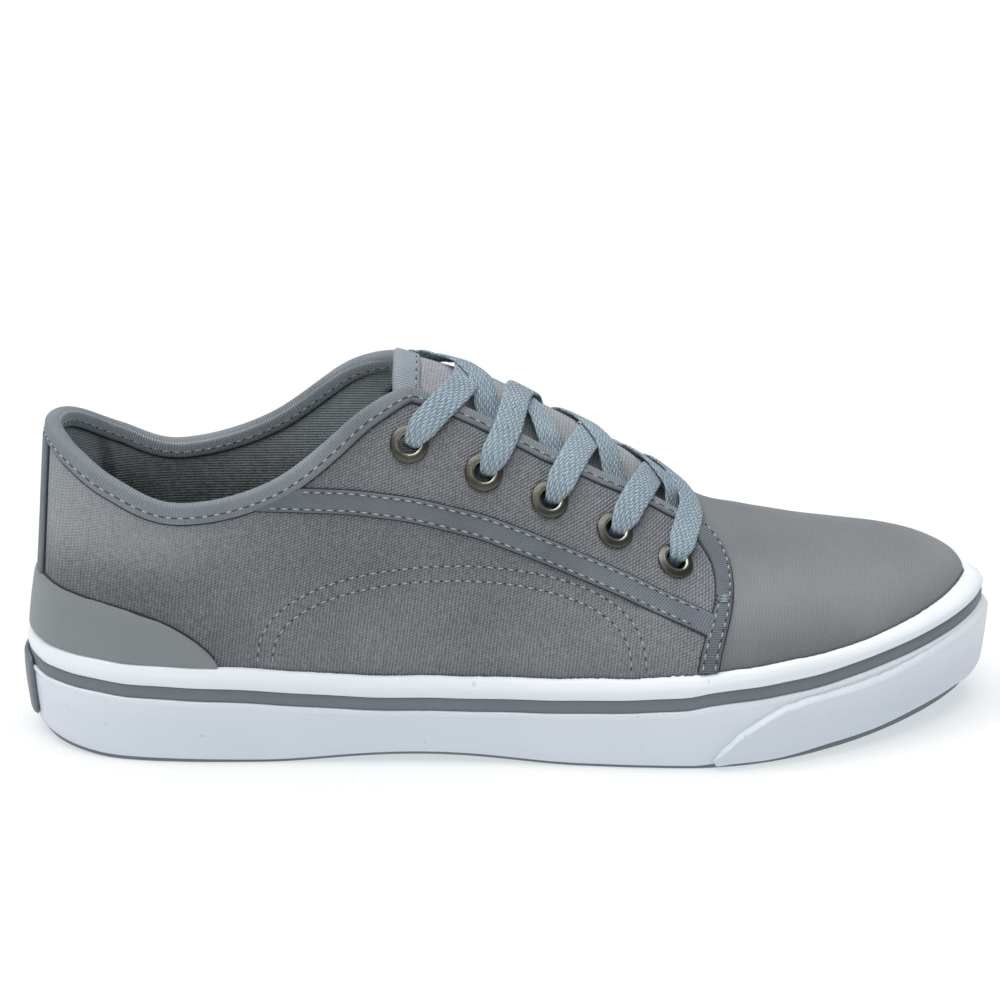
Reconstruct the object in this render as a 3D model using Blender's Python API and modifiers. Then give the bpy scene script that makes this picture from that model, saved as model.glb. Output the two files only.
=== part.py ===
"""Low canvas sneaker, right shoe.

Lengths are millimetres and turn to metres as points enter a mesh.
The last frame has the heel's back at x 0, the toe at +x, the inner side at +y and the floor at z 0.
The upper, its overlays, the tongue and the lace all lie on one surface, given by the section table.
"""

import math
from collections import namedtuple

import bmesh
import bpy
from mathutils import Matrix, Vector

MM = 0.001
GAP = 0.3

CENTRE_X = 149.86
CENTRE_Y = -1.04

# Sole
LENGTH = 298.3
OUTSOLE_THICK = 8.0
OUTSOLE_EDGE = 2.0
OUTSOLE_INSET = 2.6
TOE_SPRING = 8.4
SPRING_FROM = 205.0
ARCH_LIFT = 2.2
ARCH_AT = 119.0
ARCH_REACH = 48.0
HEEL_BEVEL = 3.6
HEEL_BEVEL_TO = 28.0
GROOVE_WIDE = 3.0
GROOVE_DEEP = 1.6
GROOVE_PITCH = 11.0
GROOVE_CLEAR = 12.0
GROOVE_RUNS = ((34.0, 5), (160.0, 7))

# Sidewall
FOXING_WALL = 3.0
STRIPE_DOWN = 6.3
STRIPE_TALL = 4.0
STRIPE_DEEP = 0.9
BUMPER_THICK = 1.6
BUMPER_ROW = 10.1
BUMPER_RAMP = 1.7
BUMPER_UNDER_STRIPE = 1.0
BUMPER_LEVELS = 2
LABEL_ROW = 0.84
LABEL_LOW = 6.0
LABEL_TOP = 25.5
LABEL_THICK = 1.1

# Insole
INSOLE_THICK = 4.2
INSOLE_CUP = 1.6

# Upper and its overlays
UPPER_WALL = 2.0
UPPER_LEVELS = 7
THROAT_FROM = 98.0
THROAT_END = 207.0
THROAT_ROUND = 10.0
CORNER_SOFT = 0.18
BINDING_COLLAR = 5.2
BINDING_THROAT = 3.6
BINDING_THICK = 0.8
BINDING_SLACK = 0.75
BINDING_INSIDE = 2.6
BINDING_END = 9.6
TAPE_THICK = 0.8
TAPE_SEAT = 0.5
COUNTER_TALL = 18.3
COUNTER_REACH = 59.5
COUNTER_THICK = 1.1
STRIP_ROW = 0.66

# Tongue
TONGUE_TOP = 114.0
TONGUE_FRONT = 222.0
TONGUE_HALF = 27.0
TONGUE_THICK = 2.6
TONGUE_UNDER = 4.0
TONGUE_ACROSS = 8

# Eyelets and lace
EYELET_OUTER = 5.8
EYELET_HOLE = 2.9
EYELET_RIM = 1.0
EYELET_SIDES = 10
BARREL_WALL = 0.4
PIN_CLEAR = 0.35
LACE_WIDE = 8.6
LACE_THICK = 1.3
LACE_STEPS = 10
BAR_FORWARD = 6.0

# Sections of the last, heel to toe. x, lat and med give the sole's widest outline, crown_x, ridge and
# crown_z the top line, rim the sidewall's top edge, and collar_lat and collar_med where the wall ends.
# rise, spread and belly are the handles of the section curve and slope is the top line's fall.
Section = namedtuple(
    "Section", "x lat med crown_x ridge crown_z rim collar_lat collar_med rise spread belly slope")
SECTIONS = (
    Section(0.9, 0.0, 0.0, 34, 0.0, 150.0, 33.2, 97.0, 97.0, 0.45, 0.78, -0.6, 0.0),
    Section(4.2, 15.2, 15.2, 34, 0.0, 150.0, 33.0, 96.2, 96.2, 0.45, 0.77, -0.5, 0.0),
    Section(12.6, 27.0, 26.7, 36, 0.0, 150.0, 32.5, 93.0, 93.0, 0.45, 0.76, 0.2, 0.0),
    Section(27.2, 36.0, 35.2, 42, 0.0, 150.0, 31.9, 86.0, 86.0, 0.45, 0.74, 0.8, 0.0),
    Section(48.0, 40.4, 38.6, 52, 0.0, 148.0, 31.2, 79.3, 79.3, 0.45, 0.72, 1.1, 0.0),
    Section(77.0, 42.2, 38.2, 77, 0.5, 140.0, 29.6, 86.0, 87.5, 0.46, 0.74, 1.0, 0.0),
    Section(106.0, 43.2, 36.8, 106, 1.0, 123.0, 27.8, 107.4, 109.6, 0.48, 0.88, 0.6, 0.0),
    Section(134.0, 45.6, 37.4, 134, 2.0, 112.5, 27.4, 128.0, 128.0, 0.48, 0.80, 0.4, 0.0),
    Section(161.0, 50.2, 41.6, 161, 3.0, 99.0, 28.1, 130.0, 130.0, 0.43, 0.64, 0.4, 0.0),
    Section(185.0, 54.1, 47.2, 185, 4.0, 84.5, 29.2, 130.0, 130.0, 0.37, 0.50, 0.4, 0.0),
    Section(207.0, 55.7, 51.2, 207, 5.0, 67.2, 30.8, 130.0, 130.0, 0.39, 0.47, 0.4, -0.1),
    Section(227.0, 52.6, 52.6, 223, 6.0, 61.8, 32.0, 130.0, 130.0, 0.44, 0.52, 0.4, -0.2),
    Section(246.5, 45.0, 51.2, 237, 6.5, 58.8, 33.3, 130.0, 130.0, 0.42, 0.50, 0.4, -0.2),
    Section(264.0, 35.0, 47.0, 248, 7.0, 56.7, 35.0, 130.0, 130.0, 0.40, 0.50, 0.4, -0.2),
    Section(279.5, 22.8, 39.5, 256, 7.2, 55.4, 37.2, 130.0, 130.0, 0.38, 0.50, 0.4, -0.2),
    Section(291.0, 10.2, 28.8, 261, 7.4, 54.6, 39.3, 130.0, 130.0, 0.36, 0.50, 0.4, -0.2),
    Section(297.0, -1.4, 16.6, 263, 7.5, 54.3, 40.3, 130.0, 130.0, 0.35, 0.50, 0.4, -0.2),
    Section(298.3, -7.5, 7.5, 264, 7.5, 54.1, 40.6, 130.0, 130.0, 0.35, 0.50, 0.4, -0.2),
)
ROWS = len(SECTIONS) - 1
LOOP = 2 * ROWS

# Steps per run of rows: every piece round the shoe shares these stations
Run = namedtuple("Run", "first last steps")
RUNS = (Run(0, 4, 8), Run(4, 5, 2), Run(5, 6, 4), Run(6, 7, 5), Run(7, 9, 5), Run(9, 10, 4),
        Run(10, 16, 12), Run(16, 17, 1))

# Half width of the throat along the shoe
Throat = namedtuple("Throat", "x half")
THROAT = (Throat(98, 21.5), Throat(116, 22.0), Throat(128, 22.8), Throat(142, 24.0), Throat(158, 25.0),
          Throat(175, 24.0), Throat(190, 22.0), Throat(207, 20.0))

# Eyelets of either side: place along the shoe and way down the wall from the throat's line
Eyelet = namedtuple("Eyelet", "x down")
EYELETS = (Eyelet(116.9, 17.2), Eyelet(138.7, 17.2), Eyelet(158.2, 15.8), Eyelet(177.8, 17.6),
           Eyelet(196.0, 20.4))

# Places on the wall: x along the shoe and height
Mark = namedtuple("Mark", "x z")
EYESTAY = (Mark(73, 81.8), Mark(86, 81.6), Mark(100, 80.9), Mark(117, 78.4), Mark(138, 72.8),
           Mark(158, 64.8), Mark(178, 55.8), Mark(196, 47.4), Mark(203.6, 44.0))
EYESTAY_WIDE = 7.0
EYESTAY_SLANT = 13.5
EYESTAY_STEPS = 14

# Front edge tape of each quarter: height, and its rear and front edge along the shoe
Edge = namedtuple("Edge", "z rear front")
VAMP_TAPE = (Edge(32.0, 202.0, 208.0), Edge(36.0, 202.8, 208.8), Edge(40.0, 204.2, 210.2),
             Edge(44.0, 206.0, 211.9), Edge(48.0, 207.8, 213.5), Edge(52.5, 208.8, 214.5),
             Edge(56.5, 208.4, 214.5), Edge(60.0, 205.9, 212.6), Edge(62.5, 203.6, 209.0))


def spread_out(first, last, steps):
    return [first + (last - first) * k / steps for k in range(steps + 1)]


STATIONS = [0.0]
for run in RUNS:
    STATIONS += spread_out(run.first, run.last, run.steps)[1:]
ROUND = STATIONS + [LOOP - t for t in reversed(STATIONS[:-1])]


def row_value(column, step):
    step = step % LOOP
    lateral = step <= ROWS
    row = SECTIONS[step if lateral else LOOP - step]
    if column == "y":
        return -row.lat if lateral else row.med
    if column == "collar":
        return row.collar_lat if lateral else row.collar_med
    return getattr(row, column)


def along(column, t):
    """Smooth value of a column at t, which runs out on the lateral side and back on the medial."""
    first = math.floor(t)
    f = t - first
    a, b, c, d = [row_value(column, first + k) for k in (-1, 0, 1, 2)]
    return b + 0.5 * f * (c - a + f * (2 * a - 5 * b + 4 * c - d + f * (3 * (b - c) + d - a)))


def outward(t):
    dx = along("x", t + 0.01) - along("x", t - 0.01)
    dy = along("y", t + 0.01) - along("y", t - 0.01)
    return Vector((dy, -dx, 0.0)).normalized()


def outline(t, out=0.0, z=0.0):
    return Vector((along("x", t), along("y", t), z)) + outward(t) * out


def lift(x):
    """Height of the underside over the floor: toe spring, arch and heel bevel."""
    toe = max(0.0, x - SPRING_FROM) / (LENGTH - SPRING_FROM)
    heel = max(0.0, HEEL_BEVEL_TO - x) / HEEL_BEVEL_TO
    arch = max(0.0, 1.0 - ((x - ARCH_AT) / ARCH_REACH) ** 2)
    return TOE_SPRING * toe ** 2 + HEEL_BEVEL * heel ** 2 + ARCH_LIFT * arch ** 2


def wall(t, w):
    """Outer face of the upper: w runs from the sidewall's top edge to the top line."""
    base = outline(t, -FOXING_WALL - GAP, along("rim", t))
    crown = Vector((along("crown_x", t), along("ridge", t), along("crown_z", t)))
    rise = Vector((0.0, 0.0, along("rise", t) * (crown.z - base.z)))
    low = base + outward(t) * along("belly", t) + rise
    reach = (base - crown) * along("spread", t)
    reach.z = along("slope", t) * reach.x
    high = crown + reach
    v = 1.0 - w
    return base * v ** 3 + low * (3 * v * v * w) + high * (3 * v * w * w) + crown * w ** 3


def wall_slopes(t, w):
    ahead = min(w + 0.01, 1.0)
    behind = max(w - 0.01, 0.0)
    across = (wall(t + 0.01, w) - wall(t - 0.01, w)) / 0.02
    up = (wall(t, ahead) - wall(t, behind)) / (ahead - behind)
    return across, up


def wall_normal(t, w):
    across, up = wall_slopes(t, w)
    return across.cross(up).normalized()


def on_wall(t, w, out):
    return wall(t, w) + wall_normal(t, w) * out


def share_where(test):
    """Share of a section at which a rising test turns true."""
    low, high = 0.0, 1.0
    for _ in range(40):
        mid = (low + high) / 2
        if test(mid):
            high = mid
        else:
            low = mid
    return high


def share_at_height(t, z):
    return share_where(lambda w: wall(t, w).z > z)


def side_scale(t):
    """Half width of this side of the section over that of the lateral side."""
    ridge = along("ridge", t)
    here = abs(along("y", t) - ridge)
    lateral = abs(along("y", min(t % LOOP, LOOP - t % LOOP)) - ridge)
    return here / lateral


def share_at_half(t, half):
    """Share of a section a half width from the top line, as measured on the lateral side."""
    ridge = along("ridge", t)
    scaled = half * side_scale(t)
    return share_where(lambda w: abs(wall(t, w).y - ridge) < scaled)


def row_at(x):
    """Row on the lateral side whose outline lies at x."""
    low, high = 0.0, float(ROWS)
    for _ in range(40):
        mid = (low + high) / 2
        if along("x", mid) < x:
            low = mid
        else:
            high = mid
    return low


def between(places, values, place):
    """Value at a place, in straight steps between rows."""
    if place <= places[0]:
        return values[0]
    for k in range(1, len(places)):
        if place <= places[k]:
            share = (place - places[k - 1]) / (places[k] - places[k - 1])
            return values[k - 1] + (values[k] - values[k - 1]) * share
    return values[-1]


def other_side(t):
    return LOOP - t


def throat_half(x):
    half = between([row.x for row in THROAT], [row.half for row in THROAT], x)
    curve = (x - THROAT_END + THROAT_ROUND) / THROAT_ROUND
    if curve > 0:
        half *= math.sqrt(max(0.0, 1.0 - curve ** 2))
    return half


def wall_end(t):
    """Share of the section where the wall stops: the collar behind, the throat's edge in front."""
    row = min(t % LOOP, LOOP - t % LOOP)
    x = along("x", t)
    if row >= 10 - 0.0001:
        return 1.0
    by_collar = share_at_height(t, along("collar", t))
    if x < THROAT_FROM:
        return by_collar
    by_throat = share_at_half(t, throat_half(x))
    if abs(by_throat - by_collar) > CORNER_SOFT:
        return min(by_throat, by_collar)
    mix = 0.5 + 0.5 * (by_throat - by_collar) / CORNER_SOFT
    return by_throat * (1 - mix) + by_collar * mix - CORNER_SOFT * mix * (1 - mix)


def edge_point(t, down, out):
    """Point a way down the wall from its top edge, square to it; past the edge when down is negative."""
    w = wall_end(t)
    across, up = wall_slopes(t, w)
    climb = (wall_end(t + 0.02) - wall_end(t - 0.02)) / 0.04
    edge = across + up * climb
    normal = across.cross(up).normalized()
    square = edge.cross(normal).normalized()
    if square.dot(up) > 0:
        square = -square
    if down <= 0:
        return wall(t, w) + square * down + normal * out
    aa, ab, bb = across.dot(across), across.dot(up), up.dot(up)
    pa, pb = square.dot(across), square.dot(up)
    spare = aa * bb - ab * ab
    step_t = (pa * bb - pb * ab) / spare
    step_w = (pb * aa - pa * ab) / spare
    return on_wall(t + step_t * down, w + step_w * down, out)


def below(t, w, down):
    """Share of the section a way down the wall from w."""
    here = wall(t, w)
    gone = 0.0
    while gone < down and w > 0.002:
        w -= 0.002
        there = wall(t, w)
        gone += (there - here).length
        here = there
    return w


def placed(point):
    return Vector((point.x - CENTRE_X, point.y - CENTRE_Y, point.z)) * MM


# Scene and meshes
for old in list(bpy.data.objects):
    bpy.data.objects.remove(old, do_unlink=True)

shoe = bpy.data.collections.new("sneaker")
cutters = bpy.data.collections.new("sneaker_cutters")
bpy.context.scene.collection.children.link(shoe)
bpy.context.scene.collection.children.link(cutters)


def add_grid(mesh, columns, levels, place):
    """Grid of columns by levels, each vertex moved to place(column, level)."""
    made = bmesh.ops.create_grid(mesh, x_segments=columns, y_segments=levels, size=1.0)
    for vertex in made["verts"]:
        column = round((vertex.co.x + 1) / 2 * columns)
        level = round((vertex.co.y + 1) / 2 * levels)
        vertex.co = placed(place(column, level))


def weld(mesh):
    bmesh.ops.remove_doubles(mesh, verts=mesh.verts[:], dist=0.000005)
    bmesh.ops.dissolve_degenerate(mesh, edges=mesh.edges[:], dist=0.000005)


def surface_material(name, colour, roughness, metallic=0.0):
    material = bpy.data.materials.new(name)
    material.use_nodes = True
    shader = material.node_tree.nodes["Principled BSDF"]
    shader.inputs["Base Color"].default_value = (*colour, 1.0)
    shader.inputs["Roughness"].default_value = roughness
    shader.inputs["Metallic"].default_value = metallic
    return material


def finished(name, mesh, material, home=shoe):
    data = bpy.data.meshes.new(name)
    mesh.to_mesh(data)
    mesh.free()
    if material:
        data.materials.append(material)
    piece = bpy.data.objects.new(name, data)
    home.objects.link(piece)
    return piece


def thicken(piece, thickness, outside):
    solid = piece.modifiers.new("wall", "SOLIDIFY")
    solid.thickness = thickness * MM
    solid.offset = 1.0 if outside else -1.0
    solid.use_even_offset = True
    solid.use_quality_normals = True


def cut(piece, cutter, operation="DIFFERENCE"):
    boolean = piece.modifiers.new("cut", "BOOLEAN")
    boolean.operation = operation
    boolean.solver = "EXACT"
    boolean.object = cutter
    cutter.hide_render = True
    cutter.display_type = "WIRE"


def ring(name, profile, material):
    """Closed band round the shoe: profile(t) lists (out, z) corners of its section."""
    sections = [profile(t) for t in ROUND]
    corners = len(sections[0])
    mesh = bmesh.new()

    def place(column, level):
        t = ROUND[column]
        out, z = sections[column][level % corners]
        return outline(t, out, z)

    add_grid(mesh, len(ROUND) - 1, corners, place)
    weld(mesh)
    bmesh.ops.recalc_face_normals(mesh, faces=mesh.faces[:])
    return finished(name, mesh, material)


def slab(name, profile, material, across=2, cup=0.0):
    """Solid plate with the shoe's outline: profile(t) lists (out, z) from its underside to its top."""
    sections = [profile(t) for t in ROUND]
    levels = len(sections[0]) - 1
    columns = len(STATIONS) - 1
    mesh = bmesh.new()

    def side(column, level):
        return outline(ROUND[column], *sections[column][level])

    def cap(level):
        def place(column, step):
            lateral = side(column, level)
            medial = side(len(ROUND) - 1 - column, level)
            share = step / across
            point = lateral.lerp(medial, share)
            if level:
                dish = cup * min(1.0, (medial - lateral).length / 60)
                point.z -= dish * 4 * share * (1 - share)
            return point
        return place

    add_grid(mesh, len(ROUND) - 1, levels, side)
    add_grid(mesh, columns, across, cap(0))
    add_grid(mesh, columns, across, cap(levels))
    weld(mesh)
    bmesh.ops.recalc_face_normals(mesh, faces=mesh.faces[:])
    return finished(name, mesh, material)


def patch(name, columns, levels, place, thickness, material, outside=True, turned=False):
    mesh = bmesh.new()
    add_grid(mesh, columns, levels, place)
    weld(mesh)
    if turned:
        bmesh.ops.reverse_faces(mesh, faces=mesh.faces[:])
    piece = finished(name, mesh, material)
    thicken(piece, thickness, outside)
    return piece


GREY_RUBBER = surface_material("grey_rubber", (0.20, 0.21, 0.22), 0.6)
WHITE_RUBBER = surface_material("white_rubber", (0.75, 0.77, 0.80), 0.45)
STRIPE_RUBBER = surface_material("stripe_rubber", (0.12, 0.125, 0.13), 0.5)
COUNTER_GREY = surface_material("counter_grey", (0.22, 0.22, 0.22), 0.6)
CANVAS = surface_material("canvas", (0.23, 0.225, 0.215), 0.9)
TAPE = surface_material("tape", (0.19, 0.20, 0.215), 0.85)
FOOTBED = surface_material("footbed", (0.12, 0.125, 0.12), 0.9)
BRASS = surface_material("brass", (0.35, 0.29, 0.18), 0.4, 0.9)
LACE = surface_material("lace", (0.21, 0.22, 0.235), 0.9)


# Sole
def outsole_profile(t):
    low = lift(along("x", t))
    core = -FOXING_WALL - GAP
    edge = -OUTSOLE_INSET
    return ((edge - 0.8, low), (edge, low + 0.7), (edge, low + OUTSOLE_EDGE),
            (core, low + OUTSOLE_EDGE), (core, low + OUTSOLE_THICK))


def groove_cutter():
    mesh = bmesh.new()
    for first, count in GROOVE_RUNS:
        for k in range(count):
            x = first + k * GROOVE_PITCH
            t = row_at(x)
            lateral = along("y", t) + GROOVE_CLEAR
            medial = along("y", other_side(t)) - GROOVE_CLEAR
            made = bmesh.ops.create_cube(mesh, size=1.0)
            middle = placed(Vector((x, (lateral + medial) / 2, lift(x))))
            size = Vector((GROOVE_WIDE, medial - lateral, 2 * GROOVE_DEEP)) * MM
            bmesh.ops.scale(mesh, vec=size, verts=made["verts"])
            bmesh.ops.translate(mesh, vec=middle, verts=made["verts"])
    return finished("tread_grooves", mesh, None, cutters)


outsole = slab("outsole", outsole_profile, GREY_RUBBER)
cut(outsole, groove_cutter())


def sidewall_out(t, z):
    """Outer face of the sidewall: leaning out to its widest height, rolling in at the top edge."""
    low = lift(along("x", t)) + OUTSOLE_EDGE + GAP
    top = along("rim", t)
    share = (z - low) / (top - low)
    foot = max(0.0, 1.0 - share / 0.6)
    roll = max(0.0, share - 0.82) / 0.18
    return -1.7 * foot ** 1.6 - 1.5 * roll ** 2.4


def foxing_profile(t):
    low = lift(along("x", t)) + OUTSOLE_EDGE + GAP
    top = along("rim", t)
    stripe_top = top - STRIPE_DOWN
    stripe_low = stripe_top - STRIPE_TALL
    heights = (low, low + 0.4 * (stripe_low - low), stripe_low)
    outer = [(sidewall_out(t, z), z) for z in heights]
    outer += [(-STRIPE_DEEP, stripe_low), (-STRIPE_DEEP, stripe_top)]
    outer += [(sidewall_out(t, z), z) for z in (stripe_top, top - 1.8, top)]
    return outer + [(-FOXING_WALL, top), (-FOXING_WALL, low)]


def stripe_profile(t):
    top = along("rim", t) - STRIPE_DOWN - GAP
    low = top - STRIPE_TALL + 2 * GAP
    return ((-STRIPE_DEEP + GAP, low), (-0.1, low), (-0.1, top), (-STRIPE_DEEP + GAP, top))


ring("foxing", foxing_profile, WHITE_RUBBER)
ring("foxing_stripe", stripe_profile, STRIPE_RUBBER)


def insole_profile(t):
    low = lift(along("x", t)) + OUTSOLE_THICK + GAP
    edge = -FOXING_WALL - UPPER_WALL - 3 * GAP
    return ((edge, low), (edge, low + INSOLE_THICK))


slab("insole", insole_profile, FOOTBED, cup=INSOLE_CUP)


# Upper
def upper_place(column, level):
    t = ROUND[column]
    if level == 0:
        foot = outline(t, -FOXING_WALL - GAP)
        foot.z = lift(along("x", t)) + OUTSOLE_THICK + GAP
        return foot
    return wall(t, wall_end(t) * (level - 1) / (UPPER_LEVELS - 1))


upper = patch("upper", len(ROUND) - 1, UPPER_LEVELS, upper_place, UPPER_WALL, CANVAS, outside=False)


# Tongue
def tongue_place(column, level):
    t = TONGUE_ROWS[column]
    share = level / TONGUE_ACROSS * 2 - 1
    if share > 0:
        t = other_side(t)
    w = share_at_half(t, abs(share) * TONGUE_HALF) if abs(share) > 0.001 else 1.0
    return on_wall(t, w, -TONGUE_UNDER)


TONGUE_ROWS = [row_at(TONGUE_TOP)]
TONGUE_ROWS += [t for t in STATIONS if TONGUE_TOP + 3 < along("x", t) < TONGUE_FRONT - 3]
TONGUE_ROWS += [row_at(TONGUE_FRONT)]
patch("tongue", len(TONGUE_ROWS) - 1, TONGUE_ACROSS, tongue_place, TONGUE_THICK, CANVAS, outside=False)


# Overlays on the sidewall
def bumper_place(column, level):
    t = BUMPER_ROUND[column]
    row = min(t, LOOP - t)
    low = lift(along("x", t)) + OUTSOLE_EDGE + GAP
    top = along("rim", t) - STRIPE_DOWN - STRIPE_TALL - BUMPER_UNDER_STRIPE
    ramp = min(1.0, (row - BUMPER_ROW) / BUMPER_RAMP)
    ramp = ramp * ramp * (3 - 2 * ramp)
    z = low + (3.0 + (top - low - 3.0) * ramp) * level / BUMPER_LEVELS
    return outline(t, sidewall_out(t, z) + GAP, z)


BUMPER_ROUND = [t for t in ROUND if BUMPER_ROW < t < LOOP - BUMPER_ROW]
BUMPER_ROUND = [BUMPER_ROW] + BUMPER_ROUND + [LOOP - BUMPER_ROW]
patch("toe_bumper", len(BUMPER_ROUND) - 1, BUMPER_LEVELS, bumper_place, BUMPER_THICK, WHITE_RUBBER)


def heel_columns(row):
    near = [t for t in STATIONS if 0 < t < row - 0.05] + [row]
    return [-t for t in reversed(near)] + [0.0] + near


def label_place(column, level):
    t = heel_columns(LABEL_ROW)[column]
    z = LABEL_LOW + (LABEL_TOP - LABEL_LOW) * level / 3
    return outline(t, sidewall_out(t, z) + GAP, z)


patch("heel_label", len(heel_columns(LABEL_ROW)) - 1, 3, label_place, LABEL_THICK, STRIPE_RUBBER)


# Overlays on the upper
def counter_top(t):
    part = min(1.0, abs(along("x", t)) / COUNTER_REACH)
    return along("rim", t) + COUNTER_TALL * (1 - part ** 3) ** 0.75


def counter_place(column, level):
    t = COUNTER_ROUND[column]
    low = along("rim", t) + GAP
    z = low + (counter_top(t) - low) * level / 2
    return on_wall(t, share_at_height(t, z), GAP)


COUNTER_ROUND = heel_columns(row_at(COUNTER_REACH - 1.0))
patch("heel_counter", len(COUNTER_ROUND) - 1, 2, counter_place, COUNTER_THICK, COUNTER_GREY)


def strip_place(column, level):
    t = heel_columns(STRIP_ROW)[column]
    low = counter_top(t) + COUNTER_THICK
    top = along("collar", t) - BINDING_COLLAR - 1.0
    z = low + (top - low) * level / 4
    return on_wall(t, share_at_height(t, z), GAP)


patch("heel_strip", len(heel_columns(STRIP_ROW)) - 1, 4, strip_place, TAPE_THICK, TAPE)


def binding_corners(t):
    """Folded tape over the wall's edge, as (down, out) corners."""
    x = along("x", t)
    share = min(max((x - 108.0) / 14.0, 0.0), 1.0)
    wide = BINDING_COLLAR + (BINDING_THROAT - BINDING_COLLAR) * share
    face = BINDING_SLACK + BINDING_THICK
    back = -UPPER_WALL - BINDING_SLACK
    return ((wide, BINDING_SLACK), (wide, face), (-face, face), (-face, back - BINDING_THICK),
            (BINDING_INSIDE, back - BINDING_THICK), (BINDING_INSIDE, back),
            (-BINDING_SLACK, back), (-BINDING_SLACK, BINDING_SLACK))


def collar_binding():
    half = [t for t in STATIONS if t < BINDING_END]
    run = [-t for t in reversed(half[1:])] + half
    mesh = bmesh.new()

    def place(column, level):
        t = run[column]
        down, out = binding_corners(t)[level % 8]
        return edge_point(t, down, out)

    add_grid(mesh, len(run) - 1, 8, place)
    weld(mesh)
    bmesh.ops.holes_fill(mesh, edges=mesh.edges[:], sides=8)
    bmesh.ops.recalc_face_normals(mesh, faces=mesh.faces[:])
    return finished("collar_binding", mesh, TAPE)


collar_binding()


def eyestay_height(x):
    return between([mark.x for mark in EYESTAY], [mark.z for mark in EYESTAY], x)


def side_row(x, medial):
    return other_side(row_at(x)) if medial else row_at(x)


for side, medial in (("lateral", False), ("medial", True)):
    def eyestay_place(column, level):
        first = EYESTAY[0].x + EYESTAY_SLANT * level
        x = first + (EYESTAY[-1].x - first) * column / EYESTAY_STEPS
        t = side_row(x, medial)
        middle = share_at_height(t, eyestay_height(x) + EYESTAY_WIDE / 2)
        w = middle if level else below(t, middle, EYESTAY_WIDE)
        return on_wall(t, w, TAPE_SEAT)

    def vamp_tape_place(column, level):
        row = VAMP_TAPE[level]
        x = row.rear + (row.front - row.rear) * column
        t = side_row(x, medial)
        return on_wall(t, share_at_height(t, row.z), TAPE_SEAT)

    patch(side + "_eyestay_tape", EYESTAY_STEPS, 1, eyestay_place, TAPE_THICK, TAPE, turned=medial)
    patch(side + "_vamp_tape", 1, len(VAMP_TAPE) - 1, vamp_tape_place, TAPE_THICK, TAPE, turned=medial)


# Eyelets
def eyelet_place(mark, medial):
    t = side_row(mark.x, medial)
    return t, below(t, share_at_half(t, throat_half(mark.x)), mark.down)


def eyelet_seat(mark, medial):
    t, w = eyelet_place(mark, medial)
    turn = wall_normal(t, w).to_track_quat("Z", "Y").to_matrix().to_4x4()
    return Matrix.Translation(placed(wall(t, w))) @ turn


def eyelet(name, seat):
    barrel = EYELET_HOLE + BARREL_WALL
    corners = ((EYELET_HOLE, -UPPER_WALL - 1.0), (barrel, -UPPER_WALL - 1.0), (barrel, GAP),
               (EYELET_OUTER, GAP), (EYELET_OUTER - 0.7, GAP + EYELET_RIM),
               (EYELET_HOLE + 0.4, GAP + EYELET_RIM))
    mesh = bmesh.new()
    points = [mesh.verts.new(Vector((r, 0.0, z)) * MM) for r, z in corners]
    for k, point in enumerate(points):
        mesh.edges.new((point, points[(k + 1) % len(points)]))
    bmesh.ops.spin(mesh, geom=mesh.verts[:] + mesh.edges[:], cent=(0, 0, 0), axis=(0, 0, 1),
                   angle=2 * math.pi, steps=EYELET_SIDES, use_merge=True)
    weld(mesh)
    bmesh.ops.recalc_face_normals(mesh, faces=mesh.faces[:])
    mesh.transform(seat)
    return finished(name, mesh, BRASS)


pins = bmesh.new()
for side, medial in (("lateral", False), ("medial", True)):
    for number, mark in enumerate(EYELETS, 1):
        seat = eyelet_seat(mark, medial)
        eyelet(side + "_eyelet_" + str(number), seat)
        pin = EYELET_HOLE + BARREL_WALL + PIN_CLEAR
        bmesh.ops.create_cone(pins, cap_ends=True, segments=EYELET_SIDES, radius1=pin * MM,
                              radius2=pin * MM, depth=9 * MM, matrix=seat)
cut(upper, finished("eyelet_holes", pins, None, cutters))


# Lace
def lace_point(x, aside, out):
    """Point over the upper at x and a signed way aside from the top line."""
    t = side_row(x, aside > 0)
    w = share_at_half(t, abs(aside)) if abs(aside) > 0.01 else 1.0
    return on_wall(t, w, out), wall_normal(t, w)


def eyelet_aside(mark, medial):
    t, w = eyelet_place(mark, medial)
    return (wall(t, w).y - along("ridge", t)) / side_scale(t)


def ease(a, b, value):
    share = min(max((value - a) / (b - a), 0.0), 1.0)
    return share * share * (3 - 2 * share)


def strap(name, path, home):
    """Flat lace along a path of (point, normal)."""
    mesh = bmesh.new()
    last = len(path) - 1

    def place(column, level):
        point, normal = path[column]
        ahead = path[min(column + 1, last)][0] - path[max(column - 1, 0)][0]
        across = ahead.cross(normal).normalized()
        side = -1 if level in (0, 1, 4) else 1
        face = -1 if level in (0, 3, 4) else 1
        square = across.cross(ahead).normalized()
        return point + across * (side * LACE_WIDE / 2) + square * (face * LACE_THICK / 2)

    add_grid(mesh, last, 4, place)
    weld(mesh)
    bmesh.ops.holes_fill(mesh, edges=mesh.edges[:], sides=4)
    bmesh.ops.recalc_face_normals(mesh, faces=mesh.faces[:])
    return finished(name, mesh, LACE, home)


LACE_LOW = -TONGUE_UNDER + GAP + LACE_THICK / 2 + 0.3
LACE_TOP = BINDING_SLACK + BINDING_THICK + GAP + LACE_THICK / 2 + 0.2


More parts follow.
